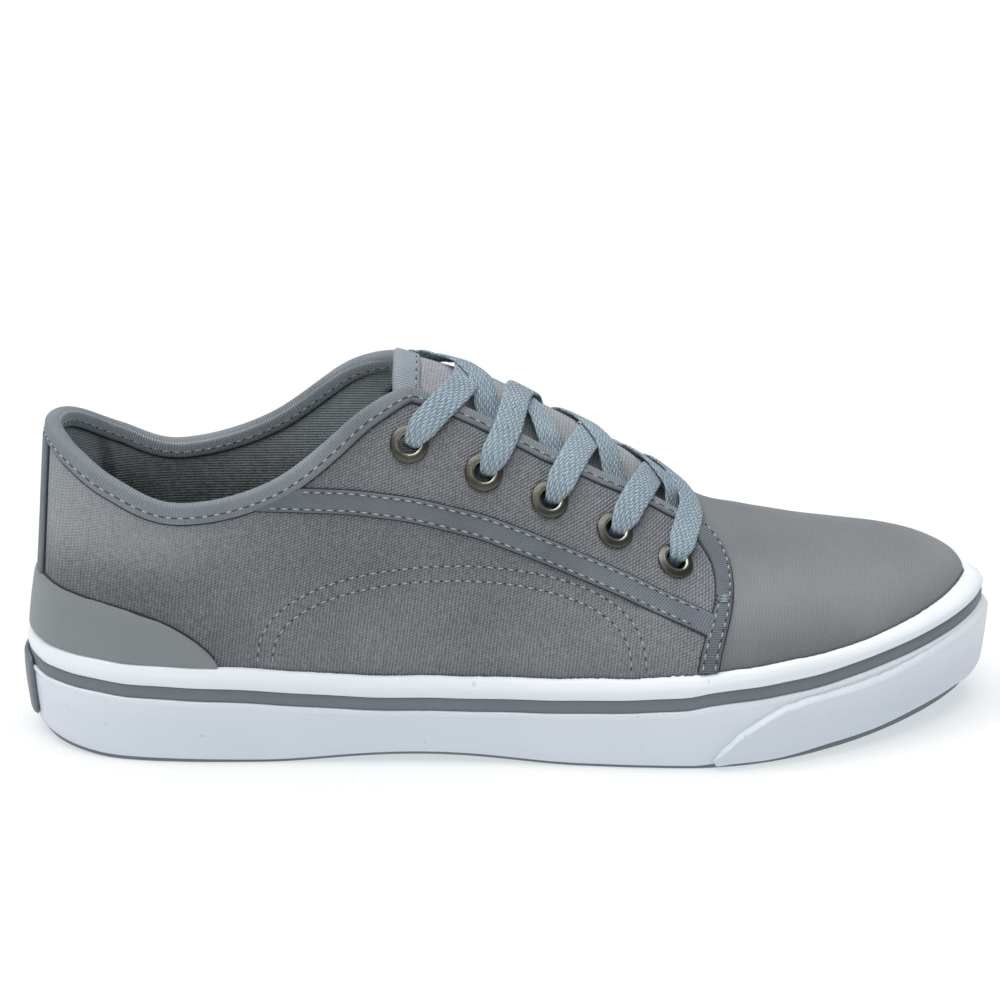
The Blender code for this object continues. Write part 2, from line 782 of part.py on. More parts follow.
def crossing_path(lower, upper_mark, to_medial):
    """From inside the throat's edge at the lower eyelet to the far side's upper eyelet."""
    sign = 1 if to_medial else -1
    first_x = lower.x - 0.5
    first = -sign * (throat_half(first_x) - 6.5)
    last = eyelet_aside(upper_mark, to_medial)
    path = []
    for k in range(LACE_STEPS + 1):
        share = k / LACE_STEPS
        x = first_x + (upper_mark.x - first_x) * share
        aside = first + (last - first) * share
        climb = ease(2.0, throat_half(x) - 3.0, aside * sign)
        out = LACE_LOW + (LACE_TOP - LACE_LOW) * climb
        path.append(lace_point(x, aside, out))
    return path


for number in range(1, len(EYELETS)):
    lower = EYELETS[number]
    higher = EYELETS[number - 1]
    over = strap("lace_cross_" + str(number), crossing_path(lower, higher, True), shoe)
    under = strap("lace_under_" + str(number), crossing_path(lower, higher, False), cutters)
    cut(over, under, "UNION")


def bar_path():
    mark = EYELETS[-1]
    first = eyelet_aside(mark, False)
    last = eyelet_aside(mark, True)
    path = []
    for k in range(LACE_STEPS + 1):
        share = k / LACE_STEPS
        bow = 4 * share * (1 - share)
        aside = first + (last - first) * share
        path.append(lace_point(mark.x + BAR_FORWARD * bow, aside, LACE_TOP + 0.4))
    return path


strap("lace_bar", bar_path(), shoe)
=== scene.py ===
import math

import bmesh
import bpy
import numpy as np
from mathutils import Matrix, Vector


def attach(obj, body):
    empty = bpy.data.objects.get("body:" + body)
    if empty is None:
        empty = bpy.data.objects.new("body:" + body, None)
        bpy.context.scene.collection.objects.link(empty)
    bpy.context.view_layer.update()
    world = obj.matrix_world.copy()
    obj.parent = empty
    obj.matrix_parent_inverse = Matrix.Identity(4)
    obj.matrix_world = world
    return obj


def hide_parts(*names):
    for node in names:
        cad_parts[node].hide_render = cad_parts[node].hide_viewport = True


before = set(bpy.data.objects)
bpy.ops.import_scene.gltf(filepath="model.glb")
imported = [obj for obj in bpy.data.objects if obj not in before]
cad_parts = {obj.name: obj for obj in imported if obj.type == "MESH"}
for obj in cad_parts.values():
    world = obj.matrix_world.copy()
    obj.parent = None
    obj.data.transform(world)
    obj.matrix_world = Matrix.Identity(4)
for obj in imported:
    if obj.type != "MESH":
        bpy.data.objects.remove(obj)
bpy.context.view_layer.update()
print("frame:", len(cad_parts), "nodes")

mm = 0.001
sides = (("lateral", False), ("medial", True))

# the last, in mm from the heel's back: the solids' own, drawn in at heel and toe
last = {
    "centre": (149.86, -1.04),
    "length": 298.3,
    "gap": 0.3,
    "columns": "x lat med crownX ridge crownZ rim collarLat collarMed rise spread belly slope".split(),
    "rows": [
        (0.9, 0.0, 0.0, 34, 0.0, 150.0, 33.2, 97.0, 97.0, 0.45, 0.90, -7.0, 0.0),
        (4.2, 15.2, 15.2, 34, 0.0, 150.0, 33.0, 96.2, 96.2, 0.45, 0.88, -6.2, 0.0),
        (12.6, 27.0, 26.7, 36, 0.0, 150.0, 32.5, 93.0, 93.0, 0.45, 0.82, -2.6, 0.0),
        (27.2, 36.0, 35.2, 42, 0.0, 150.0, 31.9, 86.0, 86.0, 0.45, 0.74, 0.8, 0.0),
        (48.0, 40.4, 38.6, 52, 0.0, 148.0, 31.2, 79.3, 79.3, 0.45, 0.72, 1.1, 0.0),
        (77.0, 42.2, 38.2, 77, 0.5, 140.0, 29.6, 86.0, 87.5, 0.46, 0.74, 1.0, 0.0),
        (106.0, 43.2, 36.8, 106, 1.0, 123.0, 27.8, 107.4, 109.6, 0.48, 0.88, 0.6, 0.0),
        (134.0, 45.6, 37.4, 134, 2.0, 112.5, 27.4, 128.0, 128.0, 0.48, 0.80, 0.4, 0.0),
        (161.0, 50.2, 41.6, 161, 3.0, 99.0, 28.1, 130.0, 130.0, 0.43, 0.64, 0.4, 0.0),
        (185.0, 54.1, 47.2, 185, 4.0, 84.5, 28.6, 130.0, 130.0, 0.37, 0.50, 0.4, 0.0),
        (207.0, 55.7, 51.2, 207, 5.0, 67.2, 30.8, 130.0, 130.0, 0.39, 0.47, 0.4, -0.1),
        (227.0, 52.6, 52.6, 223, 6.0, 61.8, 32.0, 130.0, 130.0, 0.44, 0.52, 0.4, -0.2),
        (246.5, 45.0, 51.2, 237, 6.5, 58.8, 33.3, 130.0, 130.0, 0.42, 0.50, 0.4, -0.2),
        (264.0, 35.0, 47.0, 248, 7.0, 57.2, 35.0, 130.0, 130.0, 0.41, 0.52, 0.4, -0.2),
        (279.5, 22.8, 39.5, 256, 7.2, 56.6, 37.2, 130.0, 130.0, 0.42, 0.54, 0.4, -0.2),
        (291.0, 10.2, 28.8, 261, 7.4, 56.1, 39.3, 130.0, 130.0, 0.44, 0.55, 0.4, -0.2),
        (297.0, -1.4, 16.6, 263, 7.5, 55.9, 40.3, 130.0, 130.0, 0.46, 0.55, 0.4, -0.2),
        (298.3, -7.5, 7.5, 264, 7.5, 55.7, 40.6, 130.0, 130.0, 0.47, 0.55, 0.4, -0.2),
    ],
    "throat": [(98, 21.5), (116, 22.0), (128, 22.8), (142, 24.0), (158, 25.0), (175, 24.0), (190, 22.0),
               (207, 20.0)],
    "throatFrom": 98.0,
    "throatEnd": 207.0,
    "throatRound": 10.0,
    "cornerSoft": 0.18,
    "wallThick": 2.0,
    "toeBand": 3.0,
    "eyelets": [(116.9, 17.2), (138.7, 17.2), (158.2, 15.8), (177.8, 17.6), (196.0, 20.4)],
}
sole = {
    "outsoleThick": 8.0, "outsoleEdge": 0.8, "outsoleInset": 2.6,
    "toeSpring": 8.4, "springFrom": 205.0,
    "archLift": 2.2, "archAt": 119.0, "archReach": 48.0,
    "heelBevel": 3.6, "heelBevelTo": 28.0,
    "foxingWall": 3.0, "stripeTall": 4.0, "stripeDeep": 0.9,
    # how much more of the outsole shows under the sidewall: by how much, from and to where along the shoe
    "heelLine": (0.4, 30, 75),
    "toeLine": [(1.2, 200, 214), (1.1, 222, 245), (0.6, 255, 275), (-1.4, 285, 297)],
}
rows = len(last["rows"]) - 1
loopSteps = 2 * rows


def loopColumn(lateral, medial, sign=1):
    out = [sign * row[last["columns"].index(lateral)] for row in last["rows"]]
    back = [row[last["columns"].index(medial)] for row in last["rows"]]
    return np.array(out + back[-2:0:-1], float)


loopTable = {name: loopColumn(name, name) for name in last["columns"]}
loopTable["y"] = loopColumn("lat", "med", -1)
loopTable["collar"] = loopColumn("collarLat", "collarMed")


def along(name, t):
    t = np.asarray(t, float)
    first = np.floor(t).astype(int)
    f = t - first
    a, b, c, d = (loopTable[name][(first + k) % loopSteps] for k in (-1, 0, 1, 2))
    return b + 0.5 * f * (c - a + f * (2 * a - 5 * b + 4 * c - d + f * (3 * (b - c) + d - a)))


def unit(vectors):
    return vectors / np.maximum(np.linalg.norm(vectors, axis=-1, keepdims=True), 1e-9)


def even(*values):
    # the values as arrays of one shape
    return np.broadcast_arrays(*(np.asarray(value, float) for value in values))


def stack(x, y, z):
    return np.stack(even(x, y, z), -1)


def wayAlong(line):
    return np.concatenate([[0], np.cumsum(np.linalg.norm(np.diff(line, axis=0), axis=1))])


def outward(t):
    dx = along("x", t + 0.01) - along("x", t - 0.01)
    dy = along("y", t + 0.01) - along("y", t - 0.01)
    return unit(stack(dy, -dx, 0.0))


def outline(t, out=0.0, z=0.0):
    aside = outward(t) * np.asarray(out, float)[..., None]
    return stack(along("x", t), along("y", t), z) + aside


def lift(x):
    toe = np.maximum(0.0, x - sole["springFrom"]) / (last["length"] - sole["springFrom"])
    heel = np.maximum(0.0, sole["heelBevelTo"] - x) / sole["heelBevelTo"]
    arch = np.maximum(0.0, 1 - ((x - sole["archAt"]) / sole["archReach"]) ** 2)
    return sole["toeSpring"] * toe ** 2 + sole["heelBevel"] * heel ** 2 + sole["archLift"] * arch ** 2


def soleLine(x):
    # lower edge of the sidewall over the outsole's bottom
    more, first, end = sole["heelLine"]
    line = sole["outsoleEdge"] + more * (1 - ease(first, end, x))
    for more, first, end in sole["toeLine"]:
        line = line + more * ease(first, end, x)
    return line


def toeIn(t):
    # the sidewall's top is broader round the toe
    return last["toeBand"] * ease(11.5, 15.5, nearRow(t))


def wall(t, w):
    t, w = even(t, w)
    base = outline(t, -sole["foxingWall"] - last["gap"] - toeIn(t), along("rim", t))
    crown = stack(along("crownX", t), along("ridge", t), along("crownZ", t))
    low = base + outward(t) * along("belly", t)[..., None]
    low[..., 2] += along("rise", t) * (crown - base)[..., 2]
    reach = (base - crown) * along("spread", t)[..., None]
    reach[..., 2] = along("slope", t) * reach[..., 0]
    w = w[..., None]
    v = 1 - w
    return base * v ** 3 + low * (3 * v * v * w) + (crown + reach) * (3 * v * w * w) + crown * w ** 3


def wallSlopes(t, w):
    ahead = np.minimum(w + 0.01, 1.0)
    behind = np.maximum(w - 0.01, 0.0)
    across = (wall(t + 0.01, w) - wall(t - 0.01, w)) / 0.02
    up = (wall(t, ahead) - wall(t, behind)) / (ahead - behind)[..., None]
    return across, up


def wallNormal(t, w):
    across, up = wallSlopes(t, w)
    return unit(np.cross(across, up))


def onWall(t, w, out):
    t, w, out = even(t, w, out)
    return wall(t, w) + wallNormal(t, w) * out[..., None]


def shareWhere(test, t):
    low = np.zeros_like(t)
    high = np.ones_like(t)
    for _ in range(28):
        mid = (low + high) / 2
        hit = test(mid)
        high = np.where(hit, mid, high)
        low = np.where(hit, low, mid)
    return high


def shareAtHeight(t, z):
    t, z = even(t, z)
    return shareWhere(lambda w: wall(t, w)[..., 2] > z, t)


def nearRow(t):
    return np.minimum(t % loopSteps, loopSteps - t % loopSteps)


def sideScale(t):
    ridge = along("ridge", t)
    return np.abs(along("y", t) - ridge) / np.abs(along("y", nearRow(t)) - ridge)


def shareAtHalf(t, half):
    t, half = even(t, half)
    scaled = half * sideScale(t)
    ridge = along("ridge", t)
    return shareWhere(lambda w: np.abs(wall(t, w)[..., 1] - ridge) < scaled, t)


rowSteps = np.linspace(0, rows, 6801)
rowPlaces = along("x", rowSteps)


def rowAt(x):
    return np.interp(x, rowPlaces, rowSteps)


def sideRow(x, medial):
    return loopSteps - rowAt(x) if medial else rowAt(x)


def throatHalf(x):
    x = np.asarray(x, float)
    half = np.interp(x, *zip(*last["throat"]))
    curve = np.clip((x - last["throatEnd"] + last["throatRound"]) / last["throatRound"], 0, 1)
    return half * np.sqrt(1 - curve ** 2)


def wallEnd(t):
    t = np.asarray(t, float)
    x = along("x", t)
    byCollar = shareAtHeight(t, along("collar", t))
    byThroat = shareAtHalf(t, throatHalf(x))
    soft = last["cornerSoft"]
    mix = np.clip(0.5 + 0.5 * (byThroat - byCollar) / soft, 0, 1)
    end = byThroat * (1 - mix) + byCollar * mix - soft * mix * (1 - mix)
    end = np.where(x < last["throatFrom"], byCollar, end)
    return np.where(nearRow(t) >= 10 - 0.0001, 1.0, end)


def edgePoint(t, down, out):
    t, down, out = even(t, down, out)
    w = wallEnd(t)
    across, up = wallSlopes(t, w)
    climb = (wallEnd(t + 0.02) - wallEnd(t - 0.02)) / 0.04
    normal = unit(np.cross(across, up))
    square = unit(np.cross(across + up * climb[..., None], normal))
    square = np.where((np.sum(square * up, -1) > 0)[..., None], -square, square)
    past = wall(t, w) + square * down[..., None] + normal * out[..., None]
    aa, ab, bb = (np.sum(p * q, -1) for p, q in ((across, across), (across, up), (up, up)))
    pa, pb = np.sum(square * across, -1), np.sum(square * up, -1)
    spare = aa * bb - ab * ab
    stepT = (pa * bb - pb * ab) / spare
    stepW = (pb * aa - pa * ab) / spare
    inside = onWall(t + stepT * down, np.clip(w + stepW * down, 0, 1), out)
    return np.where((down <= 0)[..., None], past, inside)


def below(t, w, down):
    # share of the wall at a way down from w
    shares = w * (1 - np.linspace(0, 1, 400))
    return float(np.interp(down, wayAlong(wall(np.full(400, t), shares)), shares))


def toFrame(points):
    return (np.asarray(points, float) - np.array([*last["centre"], 0.0])) * mm


def ease(a, b, value):
    share = np.clip((np.asarray(value, float) - a) / (b - a), 0, 1)
    return share * share * (3 - 2 * share)


def smoothed(values, width):
    kernel = np.hanning(2 * width + 3)[1:-1]
    kernel /= kernel.sum()
    padded = np.concatenate([np.repeat(values[:1], width, 0), values, np.repeat(values[-1:], width, 0)])
    if values.ndim == 1:
        return np.convolve(padded, kernel, "valid")
    return np.stack([np.convolve(padded[:, k], kernel, "valid") for k in range(values.shape[1])], 1)


def relaxed(values, rounds):
    for _ in range(rounds):
        values[..., 1:-1] = (values[..., :-2] + 2 * values[..., 1:-1] + values[..., 2:]) / 4
    return values


def onLine(marks, gone, line):
    return np.stack([np.interp(marks, gone, column) for column in line.T], 1)


# shader wires: an expression on values adds its maths nodes
class Wire:
    def __init__(self, finish, socket):
        self.finish = finish
        self.socket = socket

    def maths(self, operation, *others):
        return self.finish.node("ShaderNodeMath", {"operation": operation}, [self, *others])

    def turned(self, operation, other):
        return self.finish.node("ShaderNodeMath", {"operation": operation}, [other, self])

    def __add__(self, other):
        return self.maths("ADD", other)

    def __sub__(self, other):
        return self.maths("SUBTRACT", other)

    def __rsub__(self, other):
        return self.turned("SUBTRACT", other)

    def __mul__(self, other):
        return self.maths("MULTIPLY", other)

    def __truediv__(self, other):
        return self.maths("DIVIDE", other)

    def __rtruediv__(self, other):
        return self.turned("DIVIDE", other)

    def __pow__(self, other):
        return self.maths("POWER", other)

    __radd__ = __add__
    __rmul__ = __mul__

    def sine(self):
        return self.maths("SINE")

    def size(self):
        return self.maths("ABSOLUTE")

    def top(self, other):
        return self.maths("MAXIMUM", other)

    def over(self, edge):
        return self.maths("GREATER_THAN", edge)

    def between(self, low, high):
        settings = {"interpolation_type": "SMOOTHSTEP"}
        return self.finish.node("ShaderNodeMapRange", settings, {"Value": self, "From Min": low, "From Max": high})


class Finish:
    def __init__(self, name, **sockets):
        self.material = bpy.data.materials.new(name)
        self.material.use_nodes = True
        self.tree = self.material.node_tree
        self.shader = self.tree.nodes["Principled BSDF"]
        self.give(**sockets)

    def put(self, socket, value):
        if isinstance(value, Wire):
            self.tree.links.new(value.socket, socket)
        else:
            socket.default_value = value

    def node(self, kind, settings=None, inputs=(), output=0):
        made = self.tree.nodes.new(kind)
        for key, value in (settings or {}).items():
            setattr(made, key, value)
        for key, value in inputs.items() if isinstance(inputs, dict) else enumerate(inputs):
            self.put(made.inputs[key], value)
        return Wire(self, made.outputs[output])

    def split(self, vector, scale=1.0):
        return [self.node("ShaderNodeSeparateXYZ", None, [vector], k) * scale for k in range(3)]

    def cloth(self):
        return self.split(self.node("ShaderNodeUVMap", {"uv_map": "cloth"}))[:2]

    def place(self):
        return self.node("ShaderNodeTexCoord", None, (), "Object")

    def join(self, x, y, z=0.0):
        return self.node("ShaderNodeCombineXYZ", None, [x, y, z])

    def noise(self, vector, scale, detail=2.0, rough=0.5):
        inputs = {"Vector": vector, "Scale": scale, "Detail": detail, "Roughness": rough}
        return self.node("ShaderNodeTexNoise", None, inputs)

    def mix(self, share, first, second):
        return self.node("ShaderNodeMix", {"data_type": "RGBA"}, {0: share, 6: first, 7: second}, 2)

    def bump(self, height, distance):
        return self.node("ShaderNodeBump", None, {"Height": height, "Distance": distance, "Strength": 1.0})

    def give(self, **sockets):
        for socket, value in sockets.items():
            self.put(self.shader.inputs[socket.replace("_", " ")], value)
        return self


def tint(red, green, blue):
    def linear(value):
        share = value / 255
        return share / 12.92 if share <= 0.04045 else ((share + 0.055) / 1.055) ** 2.4
    return linear(red), linear(green), linear(blue), 1.0


def wovenFinish(name, dark, light, depth, grain=1.0, overTop=False):
    # plain weave, the yarns a little askew as the cloth is drawn over the last
    made = Finish(name, Roughness=0.92, Sheen_Weight=0.12, Sheen_Roughness=0.5)
    place = made.place()
    x, y, z = made.split(place, 1 / mm)
    up = z - (y - 6.0).size() * 0.75 if overTop else z
    drift = (made.noise(place, 40.0, 2.0) - 0.5) * 1.6
    upper = z.between(48.0, 66.0)
    warp = ((x - up * 0.13 + drift) * math.tau).sine()
    weft = ((x * 0.4 - up * 1.14 + drift) * math.tau).sine()
    slub = made.noise(made.join(x * 0.9, y * 0.9, z * 0.9), 1.0, 2.0, 0.7) - 0.5
    weave = warp * (0.6 - upper * 0.2) + weft * (0.42 + upper * 0.14) + warp * weft * 0.3
    rear = 1 - x.between(-115.0, -60.0)
    cloud = made.noise(place, 22.0, 4.0, 0.6) - 0.5
    tone = weave * (1 - rear * 0.4) * (0.3 * grain) + slub * (0.7 * grain) + cloud * 0.4 + 0.5
    if overTop:
        # painted shade: a little darker by the sole and over the top
        tone = tone - (1 - z.between(36.0, 54.0)) * (1 - x.between(85.0, 115.0)) * 0.2
        tone = tone - z.between(46.0, 60.0) * 0.2
    else:
        # painted light and shade: the rear quarter is painted paler by the collar and darker by the sole; the front
        # is a little darker higher up
        tone = tone + rear * (z.between(52.0, 72.0) * 0.45 - 0.26) - upper * (1 - rear) * 0.08
    made.give(Base_Color=made.mix(tone.between(-0.1, 1.1), dark, light), Roughness=0.98 - tone * 0.1,
              Normal=made.bump(cloud * 2 + slub if overTop else weave * (1 - rear * 0.5) + slub, depth))
    return made


def liningFinish(name, dark, light):
    # drill lining, ribbed along the shoe, with painted shade: darker towards the footbed
    made = Finish(name, Roughness=0.95)
    place = made.place()
    x, y, z = made.split(place, 1 / mm)
    rib = (z * (math.tau / 0.88)).sine() * ((x * (math.tau / 1.1)).sine() * 0.4 + 0.7)
    slub = made.noise(made.join(x * 0.6, y * 0.6, z * 1.2), 1.0, 2.0, 0.7) - 0.5
    cloud = made.noise(place, 40.0, 3.0) - 0.5
    # a soft upright fold by the heel: bumped in, its shade painted darker into the colour
    fold = 1 - (x + 125.0 + (z - 80) * 0.1).size().between(0.5, 3.0)
    tone = rib * 0.13 + slub * 0.5 + cloud * 0.4 + z.between(56.0, 90.0) * 0.62 + 0.14 - fold * 0.22
    made.give(Base_Color=made.mix(tone.between(0.0, 1.0), dark, light),
              Normal=made.bump(rib + slub - fold * 6, 0.00015))
    return made


def ribbedFinish(name, dark, light, pitch, depth, grain, inner=None):
    # woven tape, finely ribbed across
    made = Finish(name, Roughness=0.88, Sheen_Weight=0.1, Sheen_Roughness=0.5)
    u, v = made.cloth()
    rib = (u * (math.tau / pitch)).sine()
    slub = made.noise(made.join(u * (1 / pitch), v * 2.2), 1.0, 2.0) - 0.5
    cloud = made.noise(made.place(), 45.0, 3.0) - 0.5
    tone = (rib * 0.22 * grain + slub * 0.7 * grain + cloud * 0.6 + 0.5).between(0.0, 1.0)
    colour = made.mix(tone, dark, light)
    if inner:
        # painted light: the turned-in leg is painted paler along its lower part, where it lies in shade
        colour = made.mix(v.between(*inner), colour, made.mix(tone, tint(158, 167, 173), tint(206, 214, 220)))
    made.give(Base_Color=colour, Normal=made.bump(rib + slub, depth))
    return made


def rubberFinish(name, dark, light, rough, soilAndShade=0.0, ribs=None, coat=0.0):
    made = Finish(name, Roughness=rough, Specular_IOR_Level=0.45, Coat_Weight=coat, Coat_Roughness=0.25)
    place = made.place()
    cloud = made.noise(place, 30.0, 4.0, 0.6)
    fine = made.noise(place, 900.0, 2.0)
    tone = ((cloud - 0.5) * 0.8 + 0.5).between(0.0, 1.0)
    colour = made.mix(tone, dark, light)
    if soilAndShade:
        specks = made.noise(place, 260.0, 1.0).between(0.745, 0.77)
        scuffs = made.noise(place, 75.0, 6.0, 0.75).between(0.62, 0.74)
        soil = (specks * 0.7).top(scuffs * 0.25) * soilAndShade
        colour = made.mix(soil, colour, tint(110, 112, 114))
        # painted shade: the rubber is painted darker and bluer towards the sole
        x, y, z = made.split(place, 1 / mm)
        colour = made.mix((1 - z.between(12.0, 30.0)) * 0.35, colour, tint(170, 184, 204))
    height = fine * 0.3 + cloud
    if ribs:
        u, v = made.cloth()
        height = height + (v * (math.tau / ribs)).sine() * 0.3
    made.give(Base_Color=colour, Roughness=rough + (cloud - 0.5) * 0.25, Normal=made.bump(height, 0.00012))
    return made


def laceFinish(name, dark, light):
    # flat braid: lanes of long picks, every other lane half a pick on
    made = Finish(name, Roughness=0.85, Sheen_Weight=0.1, Sheen_Roughness=0.5)
    u, v = made.cloth()
    lane = 0.78
    sway = (made.noise(made.join(u * 0.45, v * 0.45), 1.0, 2.0) - 0.5) * 1.3
    wave = ((v + u * 0.2 + sway) * (math.pi / lane)).sine()
    side = wave.over(0.0) * 2 - 1
    pick = (u * (math.tau / 2.7) + side * 1.57 + v * 0.8 + sway * 2).sine()
    ridge = wave.size() ** 0.45
    slub = made.noise(made.join(u * 1.2, v * 1.2), 1.0, 3.0) - 0.5
    cloud = made.noise(made.place(), 60.0, 2.0) - 0.5
    tone = pick * 0.2 + ridge * 0.34 + slub * 0.9 + cloud * 0.4 + 0.32
    made.give(Base_Color=made.mix(tone.between(0.0, 1.0), dark, light),
              Normal=made.bump(pick * 0.4 + ridge, 0.00025))
    return made


def metalFinish(name, dark, light):
    # painted highlight: the rolled lip is painted lighter than the dull flange
    made = Finish(name, Metallic=1.0, Roughness=0.35)
    place = made.place()
    u, v = made.cloth()
    cloud = made.noise(place, 320.0, 4.0, 0.6)
    brush = made.noise(place, 1400.0, 2.0)
    lip = 1 - (v - 3.6).size().between(0.25, 0.7)
    tone = ((cloud - 0.5) * 0.5 + lip * 0.8 + 0.1).between(0.0, 1.0)
    made.give(Base_Color=made.mix(tone, dark, light), Roughness=0.36 - lip * 0.1,
              Normal=made.bump(brush + cloud, 0.00006))
    return made


def plainFinish(name, dark, light, rough, scale):
    made = Finish(name, Roughness=rough)
    fine = made.noise(made.place(), scale, 3.0)
    made.give(Base_Color=made.mix(fine, dark, light), Normal=made.bump(fine, 0.00008))
    return made


canvas = wovenFinish("canvas", tint(80, 83, 87), tint(164, 167, 171), 0.0002)
vampCloth = wovenFinish("vampCloth", tint(100, 103, 106), tint(157, 160, 163), 0.0001, 0.3, True)
tongueWeave = wovenFinish("tongueWeave", tint(122, 125, 129), tint(212, 216, 220), 0.0001, 0.8, True)
lining = liningFinish("lining", tint(76, 82, 84), tint(230, 238, 240))
bindingTape = ribbedFinish("bindingTape", tint(100, 108, 114), tint(150, 158, 164), 0.8, 0.00008, 0.4, (10.4, 11.2))
tongueEdge = ribbedFinish("tongueEdge", tint(126, 134, 141), tint(174, 182, 189), 0.8, 0.00008, 0.5)
sideTape = ribbedFinish("sideTape", tint(86, 93, 100), tint(134, 141, 148), 0.8, 0.00008, 0.6)
vampEdge = ribbedFinish("vampEdge", tint(72, 80, 87), tint(126, 134, 141), 0.8, 0.00008, 0.8)
lace = laceFinish("lace", tint(80, 94, 105), tint(174, 194, 206))
thread = plainFinish("thread", tint(148, 157, 166), tint(196, 204, 211), 0.7, 2600.0)
# painted shade: dark spots standing in for the needle holes
needleHoleShade = plainFinish("needleHoleShade", tint(48, 51, 55), tint(66, 70, 74), 0.95, 1500.0)
edgeShade = plainFinish("edgeShade", tint(44, 47, 51), tint(60, 63, 67), 0.95, 1500.0)
whiteRubber = rubberFinish("whiteRubber", tint(234, 240, 246), tint(246, 250, 254), 0.4, 0.3, None, 0.15)
bumperRubber = rubberFinish("bumperRubber", tint(228, 234, 242), tint(242, 246, 252), 0.45, 0.25, 1.05)
# painted highlight: a lighter, unribbed copy of the bumper rubber for its up-facing cut edge
cutAndLitRubber = rubberFinish("cutAndLitRubber", tint(230, 236, 244), tint(242, 246, 251), 0.5)
stripeRubber = rubberFinish("stripeRubber", tint(106, 112, 119), tint(122, 128, 135), 0.5)
counterRubber = rubberFinish("counterRubber", tint(126, 132, 135), tint(142, 148, 150), 0.5)
greyRubber = rubberFinish("greyRubber", tint(104, 108, 114), tint(128, 132, 138), 0.65)
brass = metalFinish("brass", (0.10, 0.098, 0.082, 1), (0.30, 0.29, 0.245, 1))
footbed = wovenFinish("footbed", tint(58, 61, 61), tint(104, 108, 107), 0.0001, 0.8, True)
print("finishes:", len(bpy.data.materials))


# mesh helpers
def shapedGrid(columns, levels, place):
    mesh = bmesh.new()
    bmesh.ops.create_grid(mesh, x_segments=columns, y_segments=levels, size=1.0)
    mesh.verts.index_update()
    share = (np.array([vert.co[:2] for vert in mesh.verts]) + 1) / 2
    column = np.rint(share[:, 0] * columns).astype(int)
    level = np.rint(share[:, 1] * levels).astype(int)
    points = np.asarray(place(column, level), float)
    sheet = np.zeros((levels + 1, columns + 1, 3))
    sheet[level, column] = points
    up = np.zeros((levels + 1, columns + 1))
    up[1:] = np.cumsum(np.linalg.norm(np.diff(sheet, axis=0), axis=2), axis=0)
    run = wayAlong(sheet[levels // 2])
    cloth = np.stack([run[column], up[level, column]], 1)
    layer = mesh.loops.layers.uv.new("cloth")
    for face in mesh.faces:
        face.smooth = True
        for loop in face.loops:
            loop[layer].uv = cloth[loop.vert.index]
    for vert, point in zip(mesh.verts, toFrame(points)):
        vert.co = point
    return mesh


seamGap = {"join": 0.000004, "sliver": 0.000003, "ring": 0.000002}


def weld(mesh, closed=True):
    bmesh.ops.remove_doubles(mesh, verts=mesh.verts[:], dist=seamGap["join"])
    bmesh.ops.dissolve_degenerate(mesh, edges=mesh.edges[:], dist=seamGap["sliver"])
    if closed:
        bmesh.ops.holes_fill(mesh, edges=[e for e in mesh.edges if e.is_boundary], sides=0)
        bmesh.ops.recalc_face_normals(mesh, faces=mesh.faces[:])
    return mesh


def sweep(lines):
    # closed piece from lines of points, one for each corner of its section
    table = np.array(lines)
    count = len(lines)
    return weld(shapedGrid(table.shape[1] - 1, count, lambda column, level: table[level % count, column]))


def linked(name, data):
    made = bpy.data.objects.new(name, data)
    bpy.context.scene.collection.objects.link(made)
    return made


def setPiece(name, mesh, finishes, nodes=(), sharp=None):
    data = bpy.data.meshes.new(name)
    mesh.to_mesh(data)
    mesh.free()
    for finish in finishes:
        data.materials.append(finish.material)
    if sharp:
        data.set_sharp_from_angle(angle=math.radians(sharp))
    piece = linked(name, data)
    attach(piece, "root")
    if nodes:
        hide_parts(*nodes)
    return piece


def thicken(piece, thick, liningStep=0):
    solid = piece.modifiers.new("thickness", "SOLIDIFY")
    solid.thickness = thick * mm
    solid.offset = -1.0
    solid.use_even_offset = True
    solid.material_offset = liningStep


def steps(*runs):
    # stations from (first, last, count) runs
    made = [np.linspace(first, end, count, endpoint=False) for first, end, count in runs]
    return np.concatenate(made + [[runs[-1][1]]])


halfLoop = steps((0, 4, 44), (4, 6, 34), (6, 9, 68), (9, 9.8, 24), (9.8, 10, 10), (10, 17, 130))
fullLoop = np.concatenate([halfLoop, loopSteps - halfLoop[-2::-1]])


def sidewallLow(t):
    x = along("x", t)
    return lift(x) + soleLine(x) + last["gap"]


def sidewallOut(t, z):
    low = sidewallLow(t)
    top = along("rim", t)
    share = (z - low) / (top - low)
    foot = np.maximum(0.0, 1 - share / 0.6)
    roll = np.maximum(0.0, share - 0.82) / 0.18
    return -1.7 * foot ** 1.6 - 1.5 * roll ** 2.4


def loopRing(corners):
    # closed band round the shoe, from a list of (out, z) corners
    return sweep([outline(fullLoop, out, z) for out, z in corners(fullLoop)])


# sole: outsole with cross grooves, sidewall tape with a stripe, toe bumper and heel tab
foxing = {"lip": 0.5, "wobble": 0.2, "fray": 0.16, "down": 6.3, "roll": 3.0}
frayed = np.random.default_rng(7).normal(0, 1, 4000)


def rimWobble(t):
    calm = 1 - 0.7 * ease(10.5, 12.0, nearRow(t))
    wave = np.sin(2.9 * t + 0.6) + 0.6 * np.sin(6.7 * t + 2.0)
    return foxing["wobble"] * calm * wave * ease(0.6, 1.6, nearRow(t))


def stripeLine(t):
    # top edge of the stripe, with a small step before the toe
    row = nearRow(t)
    down = foxing["down"] - 0.3 * ease(8.3, 9.0, row) + 0.35 * np.exp(-((row - 9.5) / 0.3) ** 2)
    down = down - 0.45 * ease(9.6, 9.95, row) - 1.0 * ease(11.2, 12.8, row)
    return along("rim", t) - down + 0.7 * rimWobble(t)


